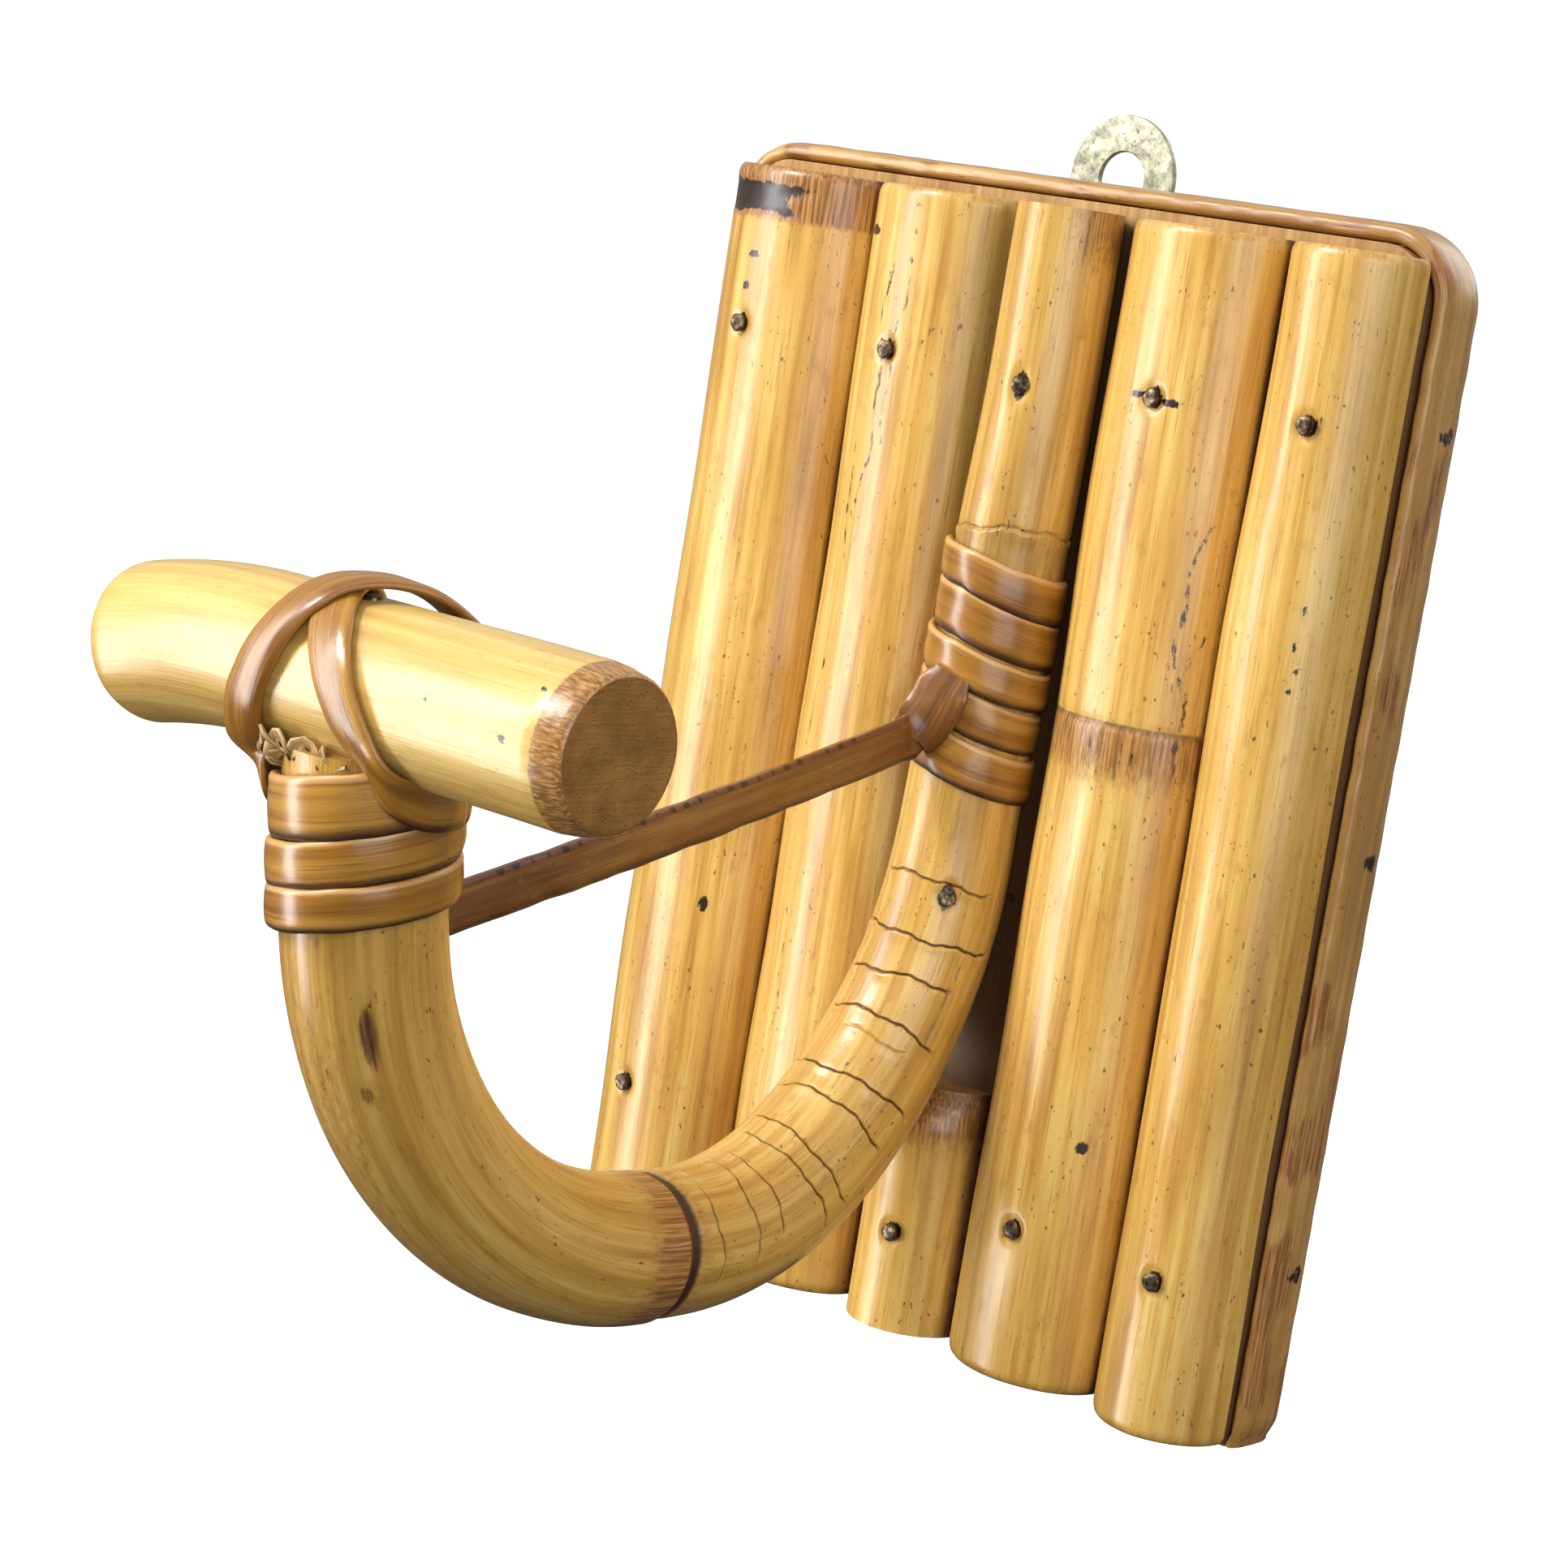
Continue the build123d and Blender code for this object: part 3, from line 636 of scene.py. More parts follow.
# ---------------------------------------------------------------- bent cane
def hook_line():
    """Stations along the bent cane's centre line: distance, y, z, heading in degrees, radius."""
    pieces = [("line", CANE_TOP_Z - SHANK_FOOT_Z)]
    pieces += [("arc", arc) for arc in SWEEP_ARCS]
    pieces += [("line", U_FLAT), ("arc", RISE_ARC)]
    y, z, heading, distance = SHANK_Y, CANE_TOP_Z, -90.0, 0.0
    stations = []
    step = 0.25
    for k, (form, size) in enumerate(pieces):
        length = size if form == "line" else size[0] * np.radians(size[1])
        count = int(np.ceil(length / step))
        turn = 0.0 if form == "line" else -size[1] / count
        for i in range(count):
            radius = HOOK_RADII[k] + (HOOK_RADII[k + 1] - HOOK_RADII[k]) * i / count
            stations.append((distance, y, z, heading, radius))
            mid_heading = np.radians(heading + turn / 2)
            y += np.cos(mid_heading) * length / count
            z += np.sin(mid_heading) * length / count
            heading += turn
            distance += length / count
    rest = (POST_TOP_Z - z) / np.sin(np.radians(heading))
    for share in np.linspace(0, 1, 60):
        end_y = y + np.cos(np.radians(heading)) * rest * share
        end_z = z + np.sin(np.radians(heading)) * rest * share
        stations.append((distance + rest * share, end_y, end_z, heading, POST_R))
    return np.array(stations)


HOOK = hook_line()
HOOK_LENGTH = HOOK[-1, 0]
POST_HEADING = np.radians(HOOK[-1, 3])
POST_UP = np.array([0, np.cos(POST_HEADING), np.sin(POST_HEADING)])


def post_point(z):
    """Centre of the post at height z."""
    foot = np.array([SLOT_X, HOOK[-1, 1], HOOK[-1, 2]])
    return foot + POST_UP * (z - foot[2]) / POST_UP[2]


BAR_Y = post_point(BAR_Z)[1]


def shank_lean(distance):
    """How far the shank stands to the right of the slot's middle; it leans there towards its top."""
    return SHANK_LEAN * falloff(17, 102, distance)


def along_hook(distance):
    """Centre, outward direction in the bend's plane, and radius at each distance."""
    y, z, heading, radius = (np.interp(distance, HOOK[:, 0], HOOK[:, k]) for k in (1, 2, 3, 4))
    turn = np.radians(heading)
    centre = np.stack([SLOT_X + shank_lean(distance), y, z], -1)
    outward = np.stack([np.zeros_like(y), -np.sin(turn), np.cos(turn)], -1)
    return centre, outward, radius


# Splits across the skin, opened by the bending: distance along the cane, first and last angle, depth
SPLITS = [
    (49.6, -150, 60, 0.30), (106.0, -125, -5, 0.45), (116.0, -140, 15, 0.55), (123.7, -130, -15, 0.60),
    (132.3, -125, -5, 0.60), (135.5, -90, -30, 0.30), (144.3, -130, 5, 0.65), (150.4, -125, 0, 0.60),
    (160.0, -120, 10, 0.65), (165.0, -110, 18, 0.60), (173.3, -105, -5, 0.50), (178.3, -95, 5, 0.50),
    (187.3, -90, 15, 0.55),
]
NODE_AT = 193.0
NODE_WIDTH = 2.0
SEAM_ANGLE = -17.0
SEAM = (117.0, 134.0)
KNOT = (271.0, 43.0)
BLEMISH = (263.5, 52.0)


def hook_stations():
    """Row distances: even, with a few close rows at each split and at the node."""
    rows = list(np.arange(0, HOOK_LENGTH, 0.8)) + [HOOK_LENGTH]
    for at in [split[0] for split in SPLITS]:
        rows += [at + d for d in (-0.55, -0.3, -0.18, -0.09, 0.0, 0.09, 0.18, 0.3, 0.55)]
    rows += list(NODE_AT + np.linspace(-2.4, 2.4, 17))
    return np.unique(np.round(rows, 3))


def open_splits(s, degrees, radius, marks):
    """The radius with each split's dark groove and lifted edge, and the seam near the shank's foot."""
    fade = 6.0
    for at, first, last, depth in SPLITS:
        within = smoothstep(first - fade, first + fade, degrees)
        within *= falloff(last - fade, last + fade, degrees)
        ragged_depth = depth * (0.75 + 0.5 * wobble(np.stack([degrees / 9, 0 * s, 0 * s + at], -1), 1.0, 4))
        groove = within * falloff(0.10, 0.34, np.abs(s - at))
        radius = radius - np.clip(ragged_depth, 0.15, 1) * groove
        stain(marks, GRIME_AND_SHADE, 0.9 * min(depth / 0.5, 1) * groove)
        lifted = within * smoothstep(0.25, 0.4, s - at) * falloff(0.5, 2.4, s - at)
        radius = radius + 0.22 * lifted
    seam = falloff(0.4, 2.2, np.abs(degrees - SEAM_ANGLE - 2 * np.sin(s / 3)))
    seam = seam * smoothstep(SEAM[0], SEAM[0] + 2, s) * falloff(SEAM[1] - 2, SEAM[1], s)
    radius = radius - 0.30 * seam
    stain(marks, GRIME_AND_SHADE, 0.75 * seam)
    return radius


def shape_node(s, turn, radius, marks):
    """The radius with the node: a dark groove, thicker and redder towards the post."""
    node = falloff(0.35, NODE_WIDTH, np.abs(s - NODE_AT - 0.25 * np.sin(3 * turn)))
    radius = radius - 0.40 * node + 0.30 * smoothstep(0.6, 2.0, s - NODE_AT) * falloff(4, 26, s - NODE_AT)
    stain(marks, GRIME_AND_SHADE, 1.05 * node)
    stain(marks, RED, smoothstep(-0.5, 1.0, s - NODE_AT) * falloff(1, 17, s - NODE_AT))
    stain(marks, RED, 0.5 * smoothstep(-7, -1, s - NODE_AT) * (s < NODE_AT + 0.5))
    return radius


def dent_scars(s, degrees, radius, marks):
    """The radius with the knot scar and blemish on the post's front, and a dent round each nail."""
    knot = falloff(0.35, 1.0, np.hypot((degrees - KNOT[1]) / 9.0, (s - KNOT[0]) / 6.5))
    blemish = falloff(0.2, 1.0, np.hypot((degrees - BLEMISH[1]) / 10.0, (s - BLEMISH[0]) / 2.2))
    radius = radius - 0.75 * knot - 0.25 * blemish
    stain(marks, BURNT, 0.30 * knot)
    stain(marks, RED, np.maximum(knot, 0.85 * blemish))
    stain(marks, GRIME_AND_SHADE, 0.75 * knot)
    for at, nail_angle in HOOK_NAILS:
        nail_mark = np.hypot((degrees - nail_angle) * 0.155 / 1.9, (s - at) / 3.4)
        stain(marks, BURNT, 0.8 * falloff(0.4, 1.0, nail_mark))
        radius = radius - 0.45 * falloff(0.5, 1.1, nail_mark)
    return radius


def tint_cane(s, degrees, marks):
    """Reddish top; painted shade on the wall side, under the bindings and on the underside of the U."""
    top_red = falloff(3, 16, s) * smoothstep(-75, -20, degrees)
    stain(marks, RED, 0.75 * top_red)
    # Painted shade on the shank's flanks and wall side, where it sits between its neighbours against the
    # board
    wall_side = smoothstep(8, 55, degrees) + smoothstep(-128, -170, degrees)
    on_wall = falloff(100, 135, s)
    stain(marks, GRIME_AND_SHADE, 0.95 * np.clip(wall_side, 0, 1) * on_wall)
    # Painted shade on the cane where it shows between the binding's turns
    under_wraps = smoothstep(44, 52, s) * falloff(86, 92, s)
    stain(marks, GRIME_AND_SHADE, 0.5 * under_wraps)
    # Painted shade on the underside of the U, laid as a reddish-brown tint
    below = smoothstep(25, 85, degrees) * falloff(110, 160, degrees) * smoothstep(150, 190, s)
    stain(marks, RED, 0.42 * below)


def hook_cane():
    """The bent cane as one skin from the shank's top to the post's end."""
    stations = hook_stations()
    count = 120
    angle = np.radians(np.arange(count) * 360 / count - 180)
    s = np.repeat(stations[:, None], count, 1)
    turn = np.repeat(angle[None, :], len(stations), 0)
    degrees = np.degrees(turn)
    # Splits run a little ragged round the cane; rows close to one follow it
    nearest = np.argmin(np.abs(stations[:, None] - np.array([a[0] for a in SPLITS])[None, :]), 1)
    near_s = np.array([SPLITS[k][0] for k in nearest])
    closeness = falloff(0.6, 3.0, np.abs(stations - near_s))
    rag = 0.55 * np.sin(2.1 * turn + nearest[:, None] * 1.9)
    rag += 0.28 * np.sin(7.3 * turn + nearest[:, None] * 4.1)
    rag += 0.10 * np.sin(23.0 * turn + nearest[:, None])
    s_moved = np.clip(s + rag * closeness[:, None], 0, HOOK_LENGTH)
    s_moved[0], s_moved[-1] = 0, HOOK_LENGTH
    centre, outward, radius = along_hook(s_moved)
    ring = np.cos(turn)[..., None] * np.array([1.0, 0, 0]) + np.sin(turn)[..., None] * outward
    straight = np.stack([radius * np.cos(turn), radius * np.sin(turn), s_moved], -1)
    lumps = wobble(straight * np.array([1, 1, 0.3]), 6.0, 3)
    radius = radius + 0.16 * lumps
    marks = np.zeros(straight.shape)
    radius = open_splits(s, degrees, radius, marks)
    radius = shape_node(s, turn, radius, marks)
    radius = dent_scars(s, degrees, radius, marks)
    tint_cane(s, degrees, marks)
    rows = centre + radius[..., None] * ring
    rows[..., 1] = np.minimum(rows[..., 1], FRONT_Y)
    piece = loft_rows("hook_cane_skin", rows, BENT_CANE, PALE_END, straight, marks)
    return finish_piece(piece, "bent_cane", "hook_cane")


# ---------------------------------------------------------------- cross bar
def bar_line():
    """Centre points of the bar from its right end to its left end, in the plane of y = BAR_Y."""
    left_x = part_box("cross_bar")[0].x / MM
    straight_x = np.arange(BAR_RIGHT_X, BAR_DROOP_X, -0.7)
    reach = np.arcsin((BAR_DROOP_X - left_x - 2.6) / BAR_DROOP_R)
    bend = np.linspace(0, reach, 58)
    x = np.concatenate([straight_x, BAR_DROOP_X - BAR_DROOP_R * np.sin(bend)])
    z = np.concatenate([np.full(len(straight_x), BAR_Z), BAR_Z - BAR_DROOP_R * (1 - np.cos(bend))])
    lean = np.concatenate([np.zeros(len(straight_x)), bend])
    return x, z, lean


def face_grain(rings, depth):
    """Straight coordinates of an end face's rings, all at one depth along the bar."""
    side, rise = rings[..., 1] - BAR_Y, rings[..., 2] - BAR_Z
    return np.stack([side, rise, np.full_like(side, depth)], -1)


def cross_bar():
    """The round bar: bevelled on the right, drooping and rounded over on the left."""
    x, z, lean = bar_line()
    distance = np.concatenate([[0], np.cumsum(np.hypot(np.diff(x), np.diff(z)))])
    count = 128
    turn = np.radians(np.arange(count) * 360 / count)
    s = np.repeat(distance[:, None], count, 1)
    angle = np.repeat(turn[None, :], len(x), 0)
    radius = np.full(s.shape, BAR_R - 0.15)
    ends = distance[-1] - s
    radius = radius * np.sqrt(np.clip(1 - np.clip((5.2 - ends) / 5.2, 0, 1) ** 2.6 * 0.62, 0, 1))
    bevel = 1 - np.clip(s / BAR_BEVEL, 0, 1)
    radius = radius - 0.95 * bevel - 0.35 * falloff(0, 0.8, s)
    rim_of_bevel = falloff(0.2, 0.9, np.abs(s - BAR_BEVEL))
    straight = np.stack([radius * np.cos(angle), radius * np.sin(angle), s], -1)
    radius = radius + 0.14 * wobble(straight * np.array([1, 1, 0.3]), 6.0, 8) - 0.10 * rim_of_bevel
    up = np.stack([-np.sin(lean), 0 * lean, np.cos(lean)], -1)
    front = np.array([0, -1.0, 0])
    ring = np.cos(angle)[..., None] * front + np.sin(angle)[..., None] * up[:, None, :]
    centre = np.stack([x, np.full_like(x, BAR_Y), z], -1)
    rows = centre[:, None, :] + radius[..., None] * ring
    marks = np.zeros(rows.shape)
    marks[..., RED] = np.maximum(falloff(BAR_BEVEL - 0.6, BAR_BEVEL + 0.5, s),
                               0.35 * falloff(0, 5, ends))
    degrees = np.degrees(angle)
    # Painted shade on the bar's underside
    bar_underside_shade = smoothstep(215, 250, degrees) * falloff(300, 335, degrees)
    marks[..., GRIME_AND_SHADE] = 0.35 * bar_underside_shade
    for at, mark_angle, size in ((9.4, 2.0, 0.7), (24.0, 12.0, 0.55), (6.0, 40.0, 0.6), (84.0, -20.0, 0.5)):
        away = np.hypot((s - at), np.radians(degrees - mark_angle) * BAR_R)
        stain(marks, BURNT, 0.8 * falloff(size * 0.5, size * 1.4, away))
    # Each end face is drawn in rings, dished a little on the right and rounded over on the left
    right_rings, left_rings = [], []
    for share in (0.97, 0.9, 0.75, 0.5, 0.2):
        face = centre[0] + (rows[0] - centre[0]) * share
        face[:, 0] += 0.05 - 0.25 * (1 - share) + 0.06 * np.sin(3 * turn) * share
        right_rings.insert(0, face)
        over = centre[-1] + (rows[-1] - centre[-1]) * share
        bulge = 1.7 * (1 - share**2)
        left_rings.append(over - np.array([np.cos(lean[-1]), 0, np.sin(lean[-1])]) * bulge)
    face_rows = len(right_rings)
    right_rings, left_rings = np.array(right_rings), np.array(left_rings)
    rows = np.concatenate([right_rings, rows, left_rings])
    blank = np.zeros((face_rows, count, 3))
    marks = np.concatenate([blank, marks, blank])
    straight = np.concatenate([face_grain(right_rings, 0.0), straight, face_grain(left_rings, 110.0)])
    piece = loft_rows("cross_bar_skin", rows, BAR_CANE, END_GRAIN, straight, marks, sharp=40)
    slots = np.zeros(len(piece.data.polygons), np.int32)
    slots[: face_rows * count] = 1
    slots[-(face_rows * count + 2):] = 1
    piece.data.polygons.foreach_set("material_index", slots)
    return finish_piece(piece, "bar", "cross_bar")


# ---------------------------------------------------------------- flat peel
def smooth_path(points, count):
    """A smooth curve through the given rows of numbers, evenly resampled."""
    points = np.asarray(points, float)
    padded = np.concatenate([2 * points[:1] - points[1:2], points, 2 * points[-1:] - points[-2:-1]])
    fine = []
    for p0, p1, p2, p3 in zip(padded[:-3], padded[1:-2], padded[2:-1], padded[3:]):
        for t in np.linspace(0, 1, 24, endpoint=False):
            fine.append(0.5 * (2 * p1 + (p2 - p0) * t + (2 * p0 - 5 * p1 + 4 * p2 - p3) * t**2
                               + (3 * p1 - p0 - 3 * p2 + p3) * t**3))
    fine = np.array(fine + [points[-1]])
    distance = np.concatenate([[0], np.cumsum(np.linalg.norm(np.diff(fine[:, :3], axis=0), axis=1))])
    wanted = np.linspace(0, distance[-1], count)
    return np.stack([np.interp(wanted, distance, fine[:, k]) for k in range(fine.shape[1])], -1)


SECTION = np.radians(np.arange(28) * 360 / 28)
SECTION_ACROSS = np.sign(np.cos(SECTION)) * np.abs(np.cos(SECTION)) ** 0.55
SECTION_OUT = np.sign(np.sin(SECTION)) * np.abs(np.sin(SECTION)) ** 0.75


def strip_rows(centre, outward, width, thickness, seed, crown=0.10, unevenness=0.12):
    """Rows, straight coordinates, marks and upper lip of a flat strip swept along its centre points."""
    centre, outward = np.asarray(centre, float), unit(outward)
    along = unit(np.gradient(centre, axis=0))
    across = unit(np.cross(along, outward))
    outward = np.cross(across, along)
    distance = np.concatenate([[0], np.cumsum(np.linalg.norm(np.diff(centre, axis=0), axis=1))])
    width = np.broadcast_to(width, distance.shape)[:, None]
    thickness = np.broadcast_to(thickness, distance.shape)[:, None]
    out = SECTION_OUT[None, :] * thickness / 2
    out = out + crown * (1 - SECTION_ACROSS[None, :] ** 2) * (SECTION_OUT[None, :] > 0)
    side = SECTION_ACROSS[None, :] * width / 2
    along_s = np.repeat(distance[:, None], len(SECTION), 1)
    straight = np.stack([side + 0 * out, out + 0 * side, along_s], -1)
    lumps = wobble(straight * np.array([1, 1, 0.35]), 2.2, seed)
    edge_sway = wobble(np.stack([0 * side, 0 * side, along_s * 0.22], -1), 1.0, seed + 3)
    out = out + unevenness * lumps * (SECTION_OUT[None, :] > -0.2)
    side = side * (1 + 0.05 * edge_sway)
    rows = centre[:, None, :] + side[..., None] * across[:, None, :] + out[..., None] * outward[:, None, :]
    marks = np.zeros(rows.shape)
    # Painted shade along the strip's lower edge and on its inner face; both edges a little darker
    upper = SECTION_ACROSS[None, :] * across[:, 2:3]
    marks[..., GRIME_AND_SHADE] = 0.95 * smoothstep(0.30, 0.95, -upper)
    marks[..., GRIME_AND_SHADE] += 0.25 * smoothstep(0.85, 1.0, np.abs(SECTION_ACROSS))
    stain(marks, GRIME_AND_SHADE, 0.6 * (SECTION_OUT < -0.3)[None, :])
    # The upper edge, raised a little, where the peel's and the strap's lip colours are painted
    lip = smoothstep(0.62, 0.88, upper) * (SECTION_OUT > 0.1)
    rows = rows + 0.16 * lip[..., None] * outward[:, None, :]
    return rows, straight + STRIP_SHIFT * seed, marks, lip


def taper(count, first, last, low=0.3):
    """Width factors that narrow over the first and last rows."""
    index = np.arange(count)
    start = low + (1 - low) * smoothstep(0, max(first, 1), index) if first else np.ones(count)
    end = low + (1 - low) * smoothstep(0, max(last, 1), count - 1 - index) if last else np.ones(count)
    return start * end


POST_FRONT = np.array([0, -POST_UP[2], POST_UP[1]])
SIDEWAYS = np.array([1.0, 0, 0])
PEEL_THICKNESS = 1.75
POST_TURN_Z = [-22.5, -16.4, -10.1, -2.6, 4.5]
POST_TURN_WIDTHS = [5.6, 5.9, 6.4, 8.8, 8.8]
SHANK_TURN_Z = [-4.2, 2.5, 10.2, 16.7, 24.2, 30.9, 37.0]
SHANK_TURN_WIDTHS = [6.9, 6.9, 6.4, 6.5, 8.1, 6.4, 6.2]


def post_binding():
    """One strip that winds up round the post's top, a little higher at each turn."""
    count = 420
    degrees = np.linspace(212, -745, count)
    turn = np.radians(degrees)
    ring = np.cos(turn)[:, None] * SIDEWAYS + np.sin(turn)[:, None] * POST_FRONT
    radius = POST_R + PEEL_THICKNESS / 2 + 0.06
    turns = (90 - degrees) / 360
    height = np.interp(turns, range(-1, 4), POST_TURN_Z) + 0.10 * radius * np.cos(turn)
    thin = taper(count, 36, 0, 0.35)
    height += (1 - thin) * 2.4 + 0.2 * np.sin(turn * 0.71 + 1.0)
    width = np.interp(turns, range(-1, 4), POST_TURN_WIDTHS) * thin
    centre = np.array([post_point(z) for z in height]) + radius * ring
    centre += ring * (0.15 * np.sin(turn * 1.37))[:, None]
    thickness = PEEL_THICKNESS * taper(count, 14, 8, 0.4)
    rows, straight, marks, lip = strip_rows(centre, ring, width, thickness, 11)
    piece = loft_rows("post_binding", rows, PEEL, None, straight, marks, lip)
    return finish_piece(piece, "peel", "post_turn_1", "post_turn_2", "post_turn_3")


def shank_binding():
    """One strip that winds up round the shank and is pinched flat behind it by the board."""
    count = 620
    degrees = np.linspace(-70, 90 + 360 * 4 + 120, count)
    turn = np.radians(degrees)
    forward = np.array([0, -1.0, 0])
    ring = np.cos(turn)[:, None] * SIDEWAYS + np.sin(turn)[:, None] * forward
    thickness = PEEL_THICKNESS * taper(count, 8, 14, 0.4)
    radius = SHANK_R + PEEL_THICKNESS / 2 + 0.05 + 0.22 * np.sin(turn * 0.43 + 2)
    turns = (degrees - 90) / 360
    slope = np.where(np.cos(turn) > 0, 0.20, 0.02)
    height = np.interp(turns, range(-1, 6), SHANK_TURN_Z) - radius * np.cos(turn) * slope
    centre = np.array([SLOT_X, SHANK_Y, 0]) + radius[:, None] * ring
    centre[:, 0] += shank_lean(CANE_TOP_Z - height)
    centre[:, 2] = height
    centre[:, 1] = np.minimum(centre[:, 1], FRONT_Y - 0.2 - PEEL_THICKNESS / 2)
    width = np.interp(turns, range(-1, 6), SHANK_TURN_WIDTHS) + 0.3 * np.sin(turn * 0.83 + 0.6)
    width = width * taper(count, 0, 26, 0.4)
    rows, straight, marks, lip = strip_rows(centre, ring, width, thickness, 12, unevenness=0.2)
    rows[..., 1] = np.minimum(rows[..., 1], FRONT_Y - 0.02)
    piece = loft_rows("shank_binding", rows, PEEL, None, straight, marks, lip)
    return finish_piece(piece, "peel", *(f"shank_turn_{k}" for k in range(1, 6)))


def bar_side(x, rise, radius):
    """Point beside the bar, rise degrees above its front, and its outward direction."""
    out = np.array([0, -np.cos(np.radians(rise)), np.sin(np.radians(rise))])
    return np.concatenate([np.array([x, BAR_Y, BAR_Z]) + radius * out, out])


def post_side(degrees, z, radius):
    """Point beside the post at height z, and its outward direction; 90 degrees is the front."""
    out = np.cos(np.radians(degrees)) * SIDEWAYS + np.sin(np.radians(degrees)) * POST_FRONT
    return np.concatenate([post_point(z) + radius * out, out])


LASH_THICKNESS = 1.45
LASH_R = BAR_R + LASH_THICKNESS / 2
LASH_WIDTH = 6.6
LASH_ROWS = 260


def lash(name, points, first_rows, seed):
    """A strip through points beside the bar and the post; it narrows over its first rows and its last."""
    path = smooth_path(points, LASH_ROWS)
    width = LASH_WIDTH * taper(LASH_ROWS, first_rows, 10, 0.6)
    rows, straight, marks, lip = strip_rows(path[:, :3], path[:, 3:], width, LASH_THICKNESS, seed, 0.25)
    piece = loft_rows(name + "_skin", rows, PEEL, None, straight, marks, lip)
    return finish_piece(piece, "peel", name)


def lower_lash():
    """From the back left over the bar's top, down its front to the right, and round the post."""
    points = [
        post_side(215, -2.0, 12.9),
        bar_side(-12.6, 222, LASH_R + 0.3), bar_side(-11.6, 195, LASH_R), bar_side(-9.8, 165, LASH_R),
        bar_side(-6.6, 130, LASH_R), bar_side(-2.6, 98, LASH_R), bar_side(1.6, 68, LASH_R),
        bar_side(5.6, 42, LASH_R), bar_side(9.2, 18, LASH_R), bar_side(12.4, -5, LASH_R),
        bar_side(15.4, -28, LASH_R), bar_side(17.6, -50, LASH_R + 0.2),
        post_side(12, -0.6, 14.2), post_side(-18, -1.8, 13.6), post_side(-60, -3.5, 13.0),
    ]
    return lash("lower_lash", points, 10, 13)


def upper_lash():
    """From the post's left up the bar's front, over the other lash on top, and down behind."""
    over = LASH_R + LASH_THICKNESS
    points = [
        post_side(176, -5.0, 12.8), post_side(158, -2.6, 13.4),
        bar_side(-9.6, -62, LASH_R + 1.0), bar_side(-8.4, -42, LASH_R + 0.4),
        bar_side(-6.4, -18, LASH_R + 0.1),
        bar_side(-4.3, 5, LASH_R + 0.1), bar_side(-2.2, 28, LASH_R + 0.4), bar_side(0.2, 50, over - 0.3),
        bar_side(2.6, 70, over + 0.1), bar_side(6.4, 92, over - 0.1), bar_side(10.0, 115, LASH_R + 0.8),
        bar_side(13.0, 145, LASH_R + 0.1), bar_side(15.2, 180, LASH_R), bar_side(16.4, 215, LASH_R + 0.1),
        bar_side(16.6, 240, LASH_R + 0.4), post_side(-35, -2.0, 13.2), post_side(-75, -4.0, 12.9),
    ]
    return lash("upper_lash", points, 12, 14)


def lash_tail():
    """The peel's frayed end, crumpled into the notch between the bar and the bound post."""
    points = [
        post_side(158, 0.4, 12.6), bar_side(-4.8, -52, 13.4), bar_side(-3.2, -40, 13.1),
        bar_side(-1.8, -54, 13.9), bar_side(-0.2, -41, 13.0), bar_side(1.4, -55, 13.9),
        bar_side(3.2, -44, 12.9), bar_side(4.9, -56, 13.8), bar_side(6.8, -47, 12.8),
        bar_side(8.8, -56, 13.4), bar_side(11.0, -52, 12.6),
    ]
    path = smooth_path(points, 130)
    wave = np.radians(np.linspace(0, 1700, 130))
    path[:, 3:] += 0.8 * np.stack([np.sin(wave * 0.7), 0 * wave, np.cos(wave)], -1)
    width = 3.4 + 0.9 * np.sin(wave * 0.6 + 1)
    rows, straight, marks, lip = strip_rows(
        path[:, :3], path[:, 3:], width * taper(130, 6, 8, 0.3), 0.8, 15, 0.0, 0.35)
    stain(marks, BURNT, 0.5 * (np.sin(wave * 1.3) > 0.6)[:, None])
    piece = loft_rows("lash_tail_skin", rows, FRAYED, None, straight, marks, lip)
    return finish_piece(piece, "peel", "lash_tail")


def brace_strap():
    """Strap from behind the post to the shank, where its end folds up and is tucked under a turn."""
    start, end = np.array([6.6, -127.4, -18.4]), np.array([2.7, -33.5, 3.4])
    points = [(7.4, -131.6, -19.6, 0.8, 0.5, 0)]
    for share in (0.0, 0.2, 0.4, 0.6, 0.8, 1.0):
        sag = 0.5 * np.sin(np.pi * share)
        points.append((*(start + (end - start) * share - np.array([0, 0, sag])), 1, 0, 0))
    points += [
        (2.9, -31.6, 4.4, 0.9, -0.45, 0), (4.0, -30.2, 6.6, 0.5, -0.86, 0), (5.0, -29.5, 9.2, 0.3, -0.95, 0),
        (5.8, -29.0, 12.0, 0.25, -0.97, 0), (6.4, -28.1, 14.6, 0.25, -0.97, 0),
    ]
    path = smooth_path(points, 300)
    run = np.linspace(0, 1, 300)
    width = 7.2 + 1.9 * smoothstep(0.86, 0.95, run)
    thickness = 2.2 - 0.9 * smoothstep(0.84, 0.92, run)
    rows, straight, marks, lip = strip_rows(
        path[:, :3], path[:, 3:], width * taper(300, 8, 8, 0.75), thickness, 16, unevenness=0.3)
    stitches = smoothstep(0.1, 0.7, np.sin(run * 230) + 0.5 * np.sin(run * 61)) * (run > 0.1) * (run < 0.8)
    stain(marks, BURNT, 0.75 * stitches[:, None] * lip)
    stain(marks, RED, 0.2)
    piece = loft_rows("brace_strap_skin", rows, STRAP, None, straight, marks, lip)
    return finish_piece(piece, "strap", "brace_strap")


